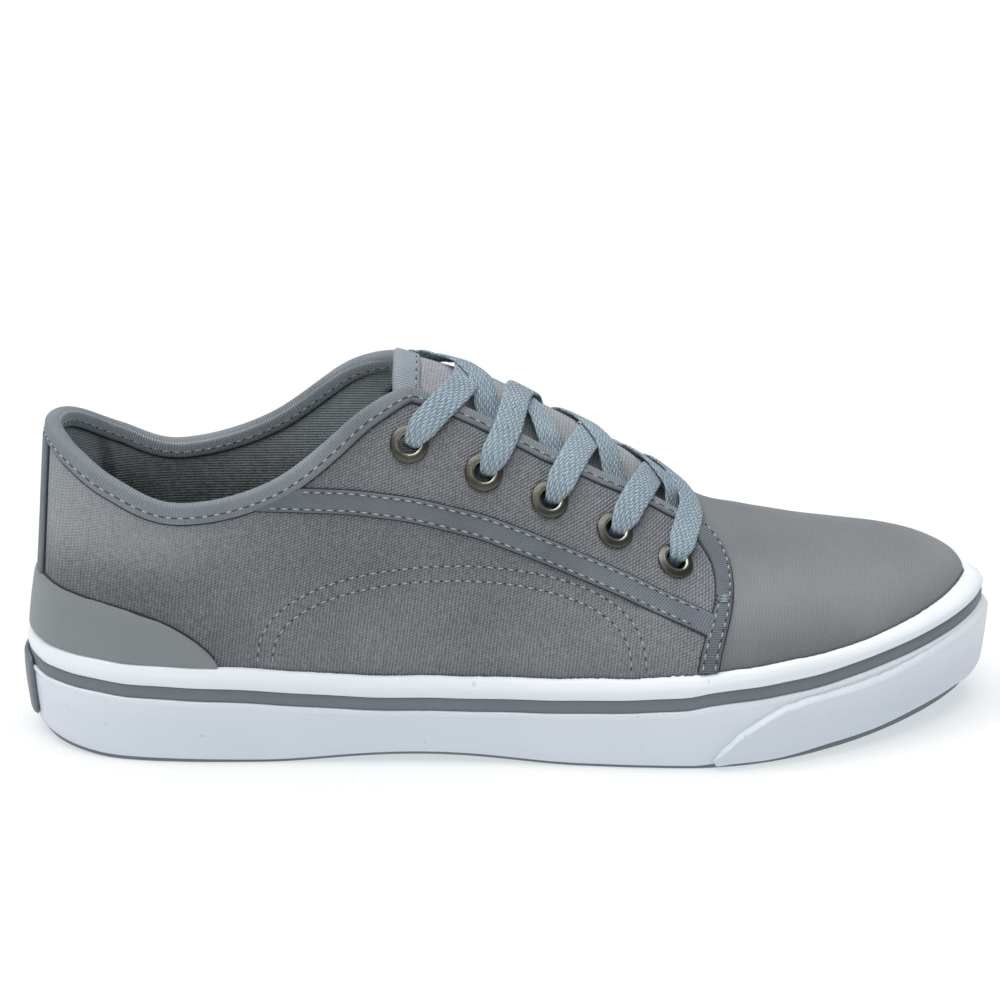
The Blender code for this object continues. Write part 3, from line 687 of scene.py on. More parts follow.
def foxingCorners(t):
    low = sidewallLow(t)
    rim = along("rim", t) + rimWobble(t)
    # the cut top edge is slightly frayed
    worn = 0.3 + 0.7 * np.exp(-((nearRow(t) - 9.4) / 0.7) ** 2)
    top = rim + foxing["fray"] * worn * frayed[: len(t)]
    stripeTop = stripeLine(t)
    stripeLow = stripeTop - sole["stripeTall"]
    corners = [(sidewallOut(t, low) - 0.5, low), (sidewallOut(t, low + 0.5), low + 0.5)]
    for share in (0.15, 0.3, 0.45, 0.6, 0.75, 0.87):
        z = low + share * (stripeLow - low)
        corners.append((sidewallOut(t, z), z))
    # a raised lip under the stripe
    for down, out in ((1.7, 0.0), (1.25, 0.5), (0.8, 0.95), (0.4, 0.9), (0.1, 0.4)):
        z = stripeLow - down
        corners.append((sidewallOut(t, z) + foxing["lip"] * out, z))
    corners += [(-sole["stripeDeep"], stripeLow), (-sole["stripeDeep"], stripeTop)]
    # a full round from the stripe up to the cloth
    broad = foxing["roll"] + toeIn(t) - 0.3
    for share in (0.02, 0.08, 0.16, 0.26, 0.36, 0.46, 0.56, 0.66, 0.75, 0.83, 0.9, 0.95, 0.985, 1.0):
        swell = 0.3 * math.sin(math.pi * min(1.0, share / 0.7)) - 0.25 * max(0.0, 1 - share / 0.1)
        turn = 1 - math.sqrt(max(0.0, 1 - max(0.0, (share - 0.3) / 0.7) ** 2))
        corners.append((swell - broad * turn, top if share == 1.0 else stripeTop + share * (rim - stripeTop)))
    return corners + [(-sole["foxingWall"] - toeIn(t), top - 0.7), (-sole["foxingWall"], low)]


def stripeCorners(t):
    top = stripeLine(t) - 0.12
    low = top - sole["stripeTall"] + 0.24
    back = -sole["stripeDeep"] + 0.05
    face = -0.12
    return [(back, low), (face - 0.25, low), (face, low + 0.35), (face + 0.05, (low + top) / 2),
            (face, top - 0.35), (face - 0.25, top), (back, top)]


setPiece("sidewallTape", loopRing(foxingCorners), [whiteRubber], ["foxing"], 50)
setPiece("sidewallStripe", loopRing(stripeCorners), [stripeRubber], ["foxing_stripe"], 50)

outsole = {
    "runs": [(34.0, 5), (160.0, 7)], "pitch": 11.0, "wide": 3.0, "deep": 1.6, "clear": 12.0,
    "across": 44, "plate": 3.0,
}


def grooveDepth(x, inset):
    depth = np.zeros_like(x)
    for first, count in outsole["runs"]:
        for k in range(count):
            away = np.abs(x - first - k * outsole["pitch"])
            depth = np.maximum(depth, 1 - ease(outsole["wide"] / 2 - 0.5, outsole["wide"] / 2 + 0.1, away))
    return outsole["deep"] * depth * ease(outsole["clear"] - 1, outsole["clear"] + 0.5, inset)


def soleGrid(stations, edge, across, height):
    # grid from the lateral edge to the medial one, raised over the outsole's bottom
    t = np.concatenate([[0.0], steps((0.12, rows - 0.06, stations))])
    lateral = outline(t, edge)
    medial = outline(loopSteps - t, edge)
    width = np.linalg.norm(medial - lateral, axis=1)

    def place(column, level):
        share = level / across
        points = lateral[column] + (medial - lateral)[column] * share[:, None]
        points[:, 2] = lift(points[:, 0]) + height(points[:, 0], share, width[column])
        return points

    return shapedGrid(len(t) - 1, across, place)


def treadMesh():
    def height(x, share, width):
        return grooveDepth(x, np.minimum(share, 1 - share) * width + 3.4)

    mesh = soleGrid(330, -sole["outsoleInset"] - 0.8, outsole["across"], height)
    bmesh.ops.reverse_faces(mesh, faces=mesh.faces[:])
    return mesh


def outsoleCorners(t):
    low = lift(along("x", t))
    deck = low + sole["outsoleThick"]
    edge = -sole["outsoleInset"]
    core = -sole["foxingWall"] - last["gap"]
    tall = soleLine(along("x", t)) + last["gap"]
    return [(core, low + 3.0), (edge - 0.8, low), (edge - 0.2, low + 0.12 * tall), (edge, low + 0.4 * tall),
            (edge, low + tall), (core, low + tall), (core, deck), (core - 3.0, deck)]


thicken(setPiece("treadPlate", treadMesh(), [greyRubber], ["outsole"], 50), outsole["plate"])
setPiece("outsoleEdge", loopRing(outsoleCorners), [greyRubber], (), 50)

# under: the bumper's top edge below the rim, by row of the last
# section: share of the height, drop from it and how proud, up the face, over the edge and down the back
bumper = {
    "under": [(9.96, 28.4), (10.0, 26.9), (10.06, 25.4), (10.37, 19.1), (10.75, 15.1), (11.04, 12.5), (11.4, 11.6),
              (11.9, 11.3), (12.58, 11.2), (13.45, 10.1), (14.3, 9.4), (17.0, 9.3)],
    "section": [(0.0, 0.0, 0.75), (0.06, 0.0, 1.0), (0.2, 0.0, 1.0), (0.4, 0.0, 1.0), (0.6, 0.0, 1.0),
                (0.8, 0.0, 1.03), (1.0, 1.5, 1.08), (1.0, 0.8, 0.9), (1.0, 0.2, 0.45), (1.0, 0.0, -0.2),
                (0.5, 0.0, -0.2), (0.0, 0.0, -0.2)],
    "thick": 1.9, "rough": 0.12, "cutLitSlope": 0.35,
}


def bumperMesh():
    first = bumper["under"][0][0]
    run = steps((first, 10.1, 16), (10.1, 12, 50), (12, 22, 150), (22, loopSteps - 10.1, 50),
                (loopSteps - 10.1, loopSteps - first, 16))
    row = nearRow(run)
    rough = np.random.default_rng(11).normal(0, bumper["rough"], len(run))
    under = smoothed(np.interp(row, *zip(*bumper["under"])), 2)
    low = sidewallLow(run) - 0.3 + 2.4 * (1 - ease(0, 0.08, row - first)) ** 2
    tall = np.maximum(0.3, along("rim", run) - under - low) + rough * ease(10.1, 10.6, row)
    tips = 0.2 + 0.8 * ease(-0.02, 0.1, row - first)
    lines = []
    for share, drop, proud in bumper["section"]:
        z = low + tall * share - np.minimum(drop, tall * 0.15)
        thick = proud * (tips if proud > 0 else 1.0) * bumper["thick"]
        lines.append(outline(run, sidewallOut(run, np.maximum(z, low + 0.35)) + thick, z))
    mesh = sweep(lines)
    # the up-facing faces of the cut top edge take the lighter copy: painted highlight
    for face in mesh.faces:
        face.material_index = 1 if face.normal.z > bumper["cutLitSlope"] else 0
    return mesh


setPiece("toeCap", bumperMesh(), [bumperRubber, cutAndLitRubber], ["toe_bumper"], 60)

heelTab = {"row": 0.84, "low": 6.0, "top": 25.5, "wide": 13.0, "thick": 1.3, "round": 3.5}


def tabMesh():
    columns, levels = 36, 30
    half = (heelTab["top"] - heelTab["low"]) / 2
    wide, corner = heelTab["wide"], heelTab["round"]

    def place(column, level):
        u = column / columns * 2 - 1
        v = level / levels * 2 - 1
        # corners drawn in to a radius
        past = np.maximum(0, np.abs(u) * wide - (wide - corner)) / corner
        limit = half - corner * (1 - np.sqrt(1 - np.clip(past, 0, 1) ** 2))
        z = heelTab["low"] + half + v * limit
        t = u * heelTab["row"]
        edge = np.minimum((1 - np.abs(u)) * wide, (1 - np.abs(v)) * half)
        proud = heelTab["thick"] * (0.3 + 0.7 * np.sqrt(np.clip(edge / 1.2, 0, 1)))
        return outline(t, sidewallOut(t, z) + last["gap"] + proud, z)

    return weld(shapedGrid(columns, levels, place), False)


thicken(setPiece("heelTab", tabMesh(), [stripeRubber], ["heel_label"]), heelTab["thick"])

insole = {"thick": 4.2, "cup": 1.6, "across": 30, "sheet": 3.6}


def insoleMesh():
    def height(x, share, width):
        dish = insole["cup"] * np.minimum(1, width / 60)
        return sole["outsoleThick"] + last["gap"] + insole["thick"] - dish * 4 * share * (1 - share)

    return soleGrid(150, -sole["foxingWall"] - last["wallThick"] - 3 * last["gap"], insole["across"], height)


# the grid runs lateral to medial, so it already faces up
thicken(setPiece("footbedSheet", insoleMesh(), [footbed], ["insole"]), insole["sheet"])
print("sole done")

# upper: one shell, vamp in front of the quarters
upper = {
    "levels": 60,
    "quarterProud": 0.55,
    "seam": [(32.0, 205.0), (36.0, 205.8), (40.0, 207.2), (44.0, 209.0), (48.0, 210.6), (52.5, 211.6),
             (56.5, 211.4), (60.0, 209.2), (62.5, 206.3)],
    # soft troughs: middle x, y side, z, half length, half width, depth, slope
    "troughs": [(191, -1, 50.5, 13, 3.0, 0.55, 0.05), (150, -1, 58, 22, 5.0, 0.45, -0.35),
                (62, -1, 62, 20, 5.0, 0.4, 0.18), (28, -1, 66, 9, 5.0, 0.35, 0.5),
                (191, 1, 50.5, 13, 3.0, 0.55, 0.05), (140, 1, 56, 24, 5.0, 0.5, -0.3),
                (66, 1, 60, 20, 5.0, 0.4, 0.18)],
    "vampTroughs": [(222, 5, 4.0, 16, 0.4), (236, 4, 6.0, 20, 0.2)],
    "eyeletHole": 4.3, "eyeletNear": 7.5,
}


def seamPlace(z):
    return np.interp(z, *zip(*upper["seam"]))


def upperRelief(points):
    x, y, z = points[..., 0], points[..., 1], points[..., 2]
    quarter = 1 - ease(-1.6, 1.6, x - seamPlace(z))
    relief = upper["quarterProud"] * quarter * ease(27, 33, z)
    for midX, side, midZ, halfLong, halfWide, depth, slope in upper["troughs"]:
        offZ = (z - midZ) - slope * (x - midX)
        near = np.exp(-(offZ / halfWide) ** 2 - ((x - midX) / halfLong) ** 2)
        relief = relief - depth * near * ease(6, 16, y * side)
    for midX, midY, halfWide, halfLong, depth in upper["vampTroughs"]:
        bent = x - midX - 0.012 * (y - midY) ** 2
        near = np.exp(-(bent / halfWide) ** 2 - ((y - midY) / halfLong) ** 2)
        relief = relief - depth * near * ease(40, 55, z)
    return relief


def onUpper(t, w, out):
    points = wall(t, w)
    return points + wallNormal(t, w) * (upperRelief(points) + out)[..., None]


upperEnds = wallEnd(fullLoop)


def upperMesh():
    count = upper["levels"]

    def place(column, level):
        t = fullLoop[column]
        w = upperEnds[column] * np.maximum(level - 1, 0) / (count - 1)
        foot = outline(t, -sole["foxingWall"] - last["gap"], lift(along("x", t)) + sole["outsoleThick"] + last["gap"])
        return np.where((level == 0)[:, None], foot, onUpper(t, w, 0.0))

    mesh = weld(shapedGrid(len(fullLoop) - 1, count, place), False)
    centre = np.array([*last["centre"], 0.0])
    for face in mesh.faces:
        spot = np.array(face.calc_center_median()) / mm + centre
        face.material_index = 0 if spot[0] > seamPlace(spot[2]) else 1
    return mesh


def eyeletSpot(number, medial):
    # station and share on the wall, as arrays of one
    x, down = last["eyelets"][number]
    t = sideRow(np.array([x]), medial)
    end = shareAtHalf(t, throatHalf(x))
    return t, np.array([below(t[0], end[0], down)])


def punchEyelets(mesh):
    # faces inside each eyelet go, and the rim of the hole is drawn to a circle
    hole = upper["eyeletHole"] * mm
    for side, medial in sides:
        for number in range(len(last["eyelets"])):
            spot = eyeletSpot(number, medial)
            middle = Vector(toFrame(wall(*spot))[0])
            axis = Vector(wallNormal(*spot)[0])

            def offAxis(point):
                flat = point - middle
                return flat - axis * flat.dot(axis)

            near = [f for f in mesh.faces if (f.calc_center_median() - middle).length < upper["eyeletNear"] * mm]
            inside = [f for f in near if min(offAxis(v.co).length for v in f.verts) < hole]
            ring = {v for f in inside for v in f.verts}
            bmesh.ops.delete(mesh, geom=inside, context="FACES")
            for vert in ring:
                if vert.is_valid and vert.is_boundary:
                    flat = offAxis(vert.co)
                    vert.co = vert.co - flat + flat.normalized() * hole


shell = upperMesh()
punchEyelets(shell)
shellPiece = setPiece("canvasUpper", shell, [vampCloth, canvas, lining, lining], ["upper"])
thicken(shellPiece, last["wallThick"], 2)
print("upper done")

# tapes over the edges of the panels
binding = {
    "collar": 4.5, "throat": 3.6, "inside": 4.3, "face": 1.55, "end": 9.62,
    "stitchIn": (2.0, 1.35), "stitchInside": 2.3,
}
bindingRun = np.concatenate([-halfLoop[halfLoop < binding["end"]][:0:-1], halfLoop[halfLoop < binding["end"]]])


def bindingWide(t):
    share = np.clip((along("x", t) - 108.0) / 14.0, 0, 1)
    return binding["collar"] + (binding["throat"] - binding["collar"]) * share


def bindingMesh():
    face = binding["face"]
    back = -last["wallThick"] - 1.3
    half = (face - back) / 2
    middle = (face + back) / 2
    wide = bindingWide(bindingRun)
    inside = np.minimum(binding["inside"], wide + 1.6)
    # outer leg, fold over the cloth's edge, inner leg
    corners = [(wide + 0.1, 0.35), (wide + 0.05, 0.9), (wide - 0.35, face - 0.12), (wide - 1.0, face + 0.05),
               (wide * 0.5, face + 0.12), (0.4, face + 0.02)]
    for angle in (75, 55, 35, 15, -5, -25, -45, -65, -80):
        turn = math.radians(angle)
        corners.append((-1.6 * math.cos(turn), middle + half * math.sin(turn)))
    corners += [(0.6, back), (inside * 0.55, back - 0.05), (inside - 0.5, back), (inside, back + 0.5),
                (inside - 0.2, back + 1.1)]
    return sweep([edgePoint(bindingRun, down, out) for down, out in corners])


setPiece("collarTape", bindingMesh(), [bindingTape], ["collar_binding"])


def tapeCorners(half, top):
    # (across, out) of a tape's section, across from the lower edge to the upper
    return [(-half, 0.25), (-half - 0.05, top * 0.6), (-half + 0.25, top * 0.92), (-half + 0.8, top),
            (-half * 0.4, top), (half * 0.4, top), (half - 0.8, top), (half - 0.25, top * 0.92),
            (half + 0.05, top * 0.6), (half, 0.25)]


eyestay = {
    "marks": [(70.6, 82.2), (86, 81.6), (100, 80.9), (117, 78.4), (138, 72.8), (158, 64.8), (178, 55.8),
              (196, 47.4), (207.6, 42.4)],
    "wide": 7.0, "thick": 0.85, "slant": 13.5, "count": 110, "stitch": 2.55,
}


def eyestayHeight(x):
    xs, zs = np.array(eyestay["marks"]).T
    smooth = np.linspace(xs[0], xs[-1], 200)
    return np.interp(x, smooth, relaxed(np.interp(smooth, xs, zs), 30))


def eyestayLine(medial, across, out):
    # the rear end is cut along the collar's binding
    start = eyestay["marks"][0][0] + eyestay["slant"] * (across / eyestay["wide"] + 0.5)
    x = start + (eyestay["marks"][-1][0] - start) * np.arange(eyestay["count"] + 1) / eyestay["count"]
    t = sideRow(x, medial)
    w = shareAtHeight(t, eyestayHeight(x))
    here = wall(t, w)
    normal = wallNormal(t, w)
    up = unit(np.cross(normal, unit(np.gradient(here, axis=0))))
    up = np.where(up[..., 2:3] < 0, -up, up)
    return here + up * across + normal * (out + upperRelief(here))[..., None]


def eyestayMesh(medial):
    corners = tapeCorners(eyestay["wide"] / 2, eyestay["thick"])
    return sweep([eyestayLine(medial, across, out) for across, out in corners])


# edges: height, then rear and front edge along the shoe; section: share from the rear edge and way out
vampTape = {
    "edges": [(31.0, 201.8, 207.8), (36.0, 202.8, 208.8), (40.0, 204.2, 210.2), (44.0, 206.0, 211.9),
              (48.0, 207.8, 213.5), (52.5, 208.8, 214.5), (56.5, 208.4, 214.5), (60.0, 205.9, 212.6),
              (62.5, 203.6, 209.4), (63.4, 202.6, 208.2)],
    "section": [(0.0, 0.15), (-0.01, 0.9), (0.04, 1.5), (0.14, 1.72), (0.35, 1.76), (0.65, 1.74), (0.86, 1.6),
                (0.96, 1.2), (1.01, 0.5), (1.0, -0.15)],
    "count": 72, "tack": 48.5, "pitch": 3.1, "pressed": 0.7,
}
tapeLevels = np.linspace(vampTape["edges"][0][0], vampTape["edges"][-1][0], vampTape["count"] + 1)


def vampTapeLine(medial, share, out):
    z, rear, front = np.array(vampTape["edges"]).T
    rear, front = relaxed(np.array([np.interp(tapeLevels, z, rear), np.interp(tapeLevels, z, front)]), 12)
    t = sideRow(rear + (front - rear) * share, medial)
    w = shareAtHeight(t, tapeLevels)
    # the inner side's tape is pressed flat at its top
    flat = vampTape["pressed"] * ease(55.5, 60.0, tapeLevels) if medial else 0.0 * tapeLevels
    return wall(t, w) + wallNormal(t, w) * (out * (1 - flat))[:, None]


def vampTapeMesh(medial):
    return sweep([vampTapeLine(medial, share, out) for share, out in vampTape["section"]])


for side, medial in sides:
    setPiece(side + "EyestayTape", eyestayMesh(medial), [sideTape], [side + "_eyestay_tape"])
    setPiece(side + "VampTape", vampTapeMesh(medial), [vampEdge], [side + "_vamp_tape"])

heelStrip = {
    "row": 0.66, "count": 60,
    "section": [(-1.0, 0.2), (-1.01, 0.8), (-0.95, 1.2), (-0.8, 1.35), (-0.4, 1.4), (0.0, 1.42), (0.4, 1.4),
                (0.8, 1.35), (0.95, 1.2), (1.01, 0.8), (1.0, 0.2)],
}
counter = {
    "tall": 18.3, "reach": 59.5, "thick": 1.35, "swell": 1.3, "rough": 0.22, "count": 150,
    "section": [(0.0, 0.1), (0.0, 1.0), (0.15, 1.0), (0.35, 1.0), (0.55, 1.0), (0.75, 1.0), (0.88, 1.0), (0.95, 0.88),
                (1.0, 0.5), (1.0, 0.1)],
}


def counterTop(t):
    part = np.minimum(1.0, np.abs(along("x", t)) / counter["reach"])
    return along("rim", t) + counter["tall"] * (1 - part ** 3) ** 0.75


def heelStripMesh():
    rise = np.linspace(0, 1, heelStrip["count"] + 1)
    lines = []
    for share, out in heelStrip["section"]:
        t = np.full(rise.shape, share * heelStrip["row"])
        low = counterTop(t) - 1.0
        top = along("collar", t) - binding["collar"] + 0.8
        lines.append(onUpper(t, shareAtHeight(t, low + (top - low) * rise), out))
    return sweep(lines)


def counterMesh():
    reach = float(rowAt(counter["reach"] - 0.6))
    t = np.linspace(-reach, reach, counter["count"] + 1)
    rough = np.random.default_rng(4).normal(0, 1, len(t) + 4)
    rough = np.convolve(rough, np.full(5, 0.2), "valid") * counter["rough"]
    low = along("rim", t) - 1.5
    tall = counterTop(t) + rough - low
    lines = []
    for share, out in counter["section"]:
        # fuller round the back of the heel
        full = np.exp(-((t / 1.6) ** 2)) * math.sin(math.pi * min(1.0, 0.35 + 0.5 * share))
        thick = counter["thick"] + counter["swell"] * full
        lines.append(onUpper(t, shareAtHeight(t, low + tall * share), out * thick))
    return sweep(lines)


setPiece("heelTape", heelStripMesh(), [sideTape], ["heel_strip"])
setPiece("heelPatch", counterMesh(), [counterRubber], ["heel_counter"], 50)
print("tapes done")

# tongue with a bound top edge
tongue = {
    "top": 116.0, "front": 222.0, "half": 27.0, "thick": 2.4, "columns": 100, "across": 44,
    "under": 4.0, "puff": (1.2, 1.2), "sideUnder": 6.2,
}


def overTongue(x, aside):
    # place on the wall, aside from the top line; positive is medial
    t = np.where(aside > 0, loopSteps - rowAt(x), rowAt(x))
    return t, np.where(np.abs(aside) > 0.01, shareAtHalf(t, np.abs(aside)), 1.0)


def tonguePoint(x, share, out):
    x, share, out = even(x, share, out)
    high, more = tongue["puff"]
    under = tongue["under"] - (high + more * ease(125, 150, x)) * (1 - ease(188, 204, x))
    under = under + (tongue["sideUnder"] - under) * ease(0.08, 0.78, np.abs(share))
    return onWall(*overTongue(x, share * tongue["half"]), out - under)


def tongueMesh():
    def place(column, level):
        x = tongue["top"] + (tongue["front"] - tongue["top"]) * column / tongue["columns"]
        return tonguePoint(x, level / tongue["across"] * 2 - 1, 0.0)

    return weld(shapedGrid(tongue["columns"], tongue["across"], place), False)


def tongueBindingMesh():
    thick = tongue["thick"]
    section = [(6.8, 0.05), (6.7, 0.55), (6.2, 0.75), (3.5, 0.8), (1.0, 0.75), (-0.2, 0.6), (-0.75, -0.3),
               (-0.85, -thick / 2), (-0.75, -thick + 0.3), (-0.2, -thick - 0.6), (1.0, -thick - 0.75),
               (5.5, -thick - 0.75), (6.0, -thick - 0.4), (6.0, -thick + 0.1)]
    share = (np.arange(tongue["across"] + 1) / tongue["across"] * 2 - 1) * 1.005
    return sweep([tonguePoint(tongue["top"] + forward, share, out) for forward, out in section])


thicken(setPiece("tongueCloth", tongueMesh(), [tongueWeave, lining], ["tongue"]), tongue["thick"], 1)
setPiece("tongueTape", tongueBindingMesh(), [tongueEdge], ())
print("tongue done")

# eyelets
eyelet = {"outer": 5.8, "hole": 2.9, "sides": 40, "seat": -0.3}


def eyeletMesh(seat):
    hole = eyelet["hole"]
    outer = eyelet["outer"]
    corners = [(hole, -3.2), (hole, -0.5), (hole + 0.05, 0.9), (hole + 0.25, 1.35), (hole + 0.7, 1.62),
               (hole + 1.2, 1.6), (outer - 1.0, 1.28), (outer - 0.35, 1.05), (outer, 0.75), (outer, 0.45),
               (hole + 0.45, 0.4), (hole + 0.4, -3.0)]
    mesh = bmesh.new()
    points = [mesh.verts.new(Vector((r, 0.0, z)) * mm) for r, z in corners]
    edges = [mesh.edges.new((points[k], points[(k + 1) % len(points)])) for k in range(len(points))]
    bmesh.ops.spin(mesh, geom=points + edges, cent=(0, 0, 0), axis=(0, 0, 1), angle=math.tau,
                   steps=eyelet["sides"], use_merge=True)
    bmesh.ops.remove_doubles(mesh, verts=mesh.verts[:], dist=seamGap["ring"])
    bmesh.ops.recalc_face_normals(mesh, faces=mesh.faces[:])
    layer = mesh.loops.layers.uv.new("cloth")
    for face in mesh.faces:
        face.smooth = True
        for loop in face.loops:
            spot = loop.vert.co / mm
            loop[layer].uv = (spot.z, math.hypot(spot.x, spot.y))
    mesh.transform(seat)
    return mesh


for side, medial in sides:
    for number in range(len(last["eyelets"])):
        spot = eyeletSpot(number, medial)
        turn = Vector(wallNormal(*spot)[0]).to_track_quat("Z", "Y").to_matrix().to_4x4()
        seat = Matrix.Translation(Vector(toFrame(onUpper(*spot, eyelet["seat"]))[0])) @ turn
        label = str(number + 1)
        setPiece(side + "Ring" + label, eyeletMesh(seat), [brass], [side + "_eyelet_" + label], 50)
print("eyelets done")

# lace: flat straps that cross over the tongue and dive into the eyelets
laceSize = {
    "wide": 8.8, "thick": 1.25, "pinch": 4.4, "pinchThick": 1.6, "ring": 16, "samples": 100,
    "dip": 11.5, "dive": 4.5,
}


def eyeletAside(number, medial):
    t, w = eyeletSpot(number, medial)
    return float(((wall(t, w)[:, 1] - along("ridge", t)) / sideScale(t))[0])


def lacePath(x, aside, out):
    t, w = overTongue(x, aside)
    flat = smoothed(wall(t, w), 3)
    normal = unit(smoothed(wallNormal(t, w), 5))
    across = unit(np.cross(unit(np.gradient(flat, axis=0)), normal))
    return flat + normal * smoothed(out, 3)[:, None], across


def withDive(points, across, number, medial):
    # the strap turns down into its hole
    normal = wallNormal(*eyeletSpot(number, medial))[0]
    tail = points[-1] - normal * np.linspace(0.6, laceSize["dive"], 8)[:, None]
    return np.concatenate([points, tail]), np.concatenate([across, np.repeat(across[-1:], 8, 0)])


def strapMesh(points, across, wide, thick, count=laceSize["ring"]):
    square = unit(np.cross(across, unit(np.gradient(points, axis=0))))
    lines = []
    for angle in np.arange(count) / count * math.tau:
        # flat section with round edges
        flatX = math.copysign(abs(math.cos(angle)) ** 0.55, math.cos(angle))
        flatZ = math.copysign(abs(math.sin(angle)) ** 0.8, math.sin(angle))
        halfWide, halfThick = (np.reshape(size / 2, (-1, 1)) for size in (wide, thick))
        lines.append(points + across * flatX * halfWide + square * flatZ * halfThick)
    return sweep(lines)


def laceWidths(points, bothEnds):
    gone = wayAlong(points)
    left = np.minimum(gone, gone[-1] - gone) if bothEnds else gone[-1] - gone
    pinch = ease(2.0, laceSize["dip"], left)
    wide = laceSize["pinch"] + (laceSize["wide"] - laceSize["pinch"]) * pinch
    return wide, laceSize["pinchThick"] + (laceSize["thick"] - laceSize["pinchThick"]) * pinch


def crossingStrap(lower, higher, toMedial, onTop, lean, arch, bow=1.0):
    sign = 1 if toMedial else -1
    lowX = last["eyelets"][lower][0] + (6.7 if toMedial else 3.5)
    highX = last["eyelets"][higher][0] + (0.7 if higher else 0.0)
    target = abs(eyeletAside(higher, toMedial))
    start = -(float(throatHalf(lowX)) + 2.5)
    behind = -abs(eyeletAside(lower, not toMedial)) - 2.0
    a = np.linspace(behind, target + 0.3, laceSize["samples"])
    share = np.clip((a - start) / (target - start), 0, 1)
    x = lowX + (highX - lowX) * share + lean * np.sin(share ** bow * math.pi)
    x = smoothed(x - (lowX - last["eyelets"][lower][0]) * (1 - ease(behind, start, a)), 3)
    # way out over the upper: stations across the tongue and the level at each
    half = throatHalf(x)
    flat = 0 * a
    keys = np.stack([flat + start, 1.0 - half, 7.0 - half, flat - 10, flat + 10, half - 3.0, half + 0.6, half + 5.0,
                     flat + target - 5.8, flat + target - 2.9, flat + target - 0.7, flat + target + 0.3])
    middle = (-1.7 if onTop else -3.2) + arch
    # the arch dies away towards the inner side of the shoe
    near, away, edge = (0.15, 0.6 if higher else 0.9, 0.6) if toMedial else (0.5, 0.15, 0.15)
    levels = [-4.9, -4.75, -3.6 + (0.65 - near) * arch, middle - near * arch, max(middle - away * arch, -2.0),
              -0.2 + (0.65 - edge) * arch, 2.4 + 0.1 * arch, 2.0, 2.35, 2.75, 1.7, 0.4]
    out = np.array([np.interp(a[k], keys[:, k], levels) for k in range(len(a))])
    points, across = withDive(*lacePath(x, a * sign, out), higher, toMedial)
    return strapMesh(points, across, *laceWidths(points, False))


def joined(meshes):
    whole = meshes[0]
    for other in meshes[1:]:
        data = bpy.data.meshes.new("part")
        other.to_mesh(data)
        other.free()
        whole.from_mesh(data)
        bpy.data.meshes.remove(data)
    return whole


# which strap lies on top, how far each leans to the toe, how high they arch and where the near one bows
crossings = [(True, 9.6, 2.0, 4.2, 2.0), (False, 3.2, 0.0, 2.9, 3.0), (True, 4.5, 0.0, 2.6, 1.2),
             (True, 4.0, 0.0, 3.0, 1.2)]
for number, (medialOver, nearLean, farLean, arch, bow) in enumerate(crossings, 1):
    near = crossingStrap(number, number - 1, False, not medialOver, nearLean, arch, bow)
    far = crossingStrap(number, number - 1, True, medialOver, farLean, arch)
    setPiece("laceCrossing" + str(number), joined([near, far]), [lace], ["lace_cross_" + str(number)])


def laceBar():
    number = len(last["eyelets"]) - 1
    first, end = eyeletAside(number, False), eyeletAside(number, True)
    a = np.linspace(first + 0.4, end - 0.4, laceSize["samples"])
    places = [first, -22, -14, -6, 4, 14, 24, end]
    x = smoothed(np.interp(a, places, [196, 201.5, 203.3, 202.5, 199.5, 195, 192.5, 196]), 5)
    rises = [(0.0, 0.4), (1.2, 1.7), (3.2, 2.75), (5.8, 2.35), (9.0, 2.0)]
    keys = [first + way for way, out in rises] + [-13, 13] + [end - way for way, out in rises[::-1]]
    levels = [out for way, out in rises] + [1.3, 1.3] + [out for way, out in rises[::-1]]
    points, across = withDive(*lacePath(x, a, np.interp(a, keys, levels)), number, True)
    points, across = withDive(points[::-1], across[::-1], number, False)
    points, across = points[::-1], across[::-1]
    return strapMesh(points, across, *laceWidths(points, True))


setPiece("laceStraight", laceBar(), [lace], ["lace_bar"])
print("lace done")

# stitches: short threads with a dark spot at each end, painted shade for the needle hole
stitch = {"pitch": 3.3, "long": 1.9, "wide": 0.45, "tall": 0.4, "hole": (1.0, 0.5, 0.22)}


def oneStitch(mesh, middle, ahead, normal, size, index):
    ahead, normal = Vector(ahead), Vector(normal)
    turn = Matrix((ahead, normal.cross(ahead).normalized(), normal)).transposed().to_4x4()
    seat = Matrix.Translation(Vector(middle)) @ turn @ Matrix.Diagonal((*(np.array(size) * mm), 1.0))
    made = bmesh.ops.create_uvsphere(mesh, u_segments=6, v_segments=4, radius=0.5, matrix=seat)
    for vert in made["verts"]:
        for face in vert.link_faces:
            face.material_index = index
            face.smooth = True


def sewRow(mesh, line, normals, pitch=stitch["pitch"]):
    gone = wayAlong(line)
    count = int(gone[-1] / pitch)
    marks = (np.arange(count) + 0.5) * gone[-1] / count
    spots = toFrame(onLine(marks, gone, line))
    holeShades = toFrame(onLine(marks + pitch / 2, gone, line))
    aheads = unit(onLine(marks, gone, np.gradient(line, axis=0)))
    ups = unit(onLine(marks, gone, normals))
    size = (stitch["long"] * pitch / stitch["pitch"], stitch["wide"], stitch["tall"])
    for spot, hole, ahead, up in zip(spots, holeShades, aheads, ups):
        oneStitch(mesh, spot, ahead, up, size, 0)
        oneStitch(mesh, hole, ahead, up, stitch["hole"], 1)


def sideNormals(line, medial):
    # outward normals of a line that lies on one side of the shoe
    return np.broadcast_to(unit(np.array([0.0, 1.0 if medial else -1.0, 0.35])), line.shape)


collarOnly = bindingRun[np.abs(bindingRun) < 6.4]
bindingNormals = wallNormal(bindingRun, wallEnd(bindingRun) * 0.97)
collarNormals = -wallNormal(collarOnly, wallEnd(collarOnly) * 0.95)


def bindingSewn():
    # how far down the binding its stitches run
    share = np.clip((along("x", bindingRun) - 100.0) / 22.0, 0, 1)
    high, low = binding["stitchIn"]
    return bindingWide(bindingRun) - high - (low - high) * share


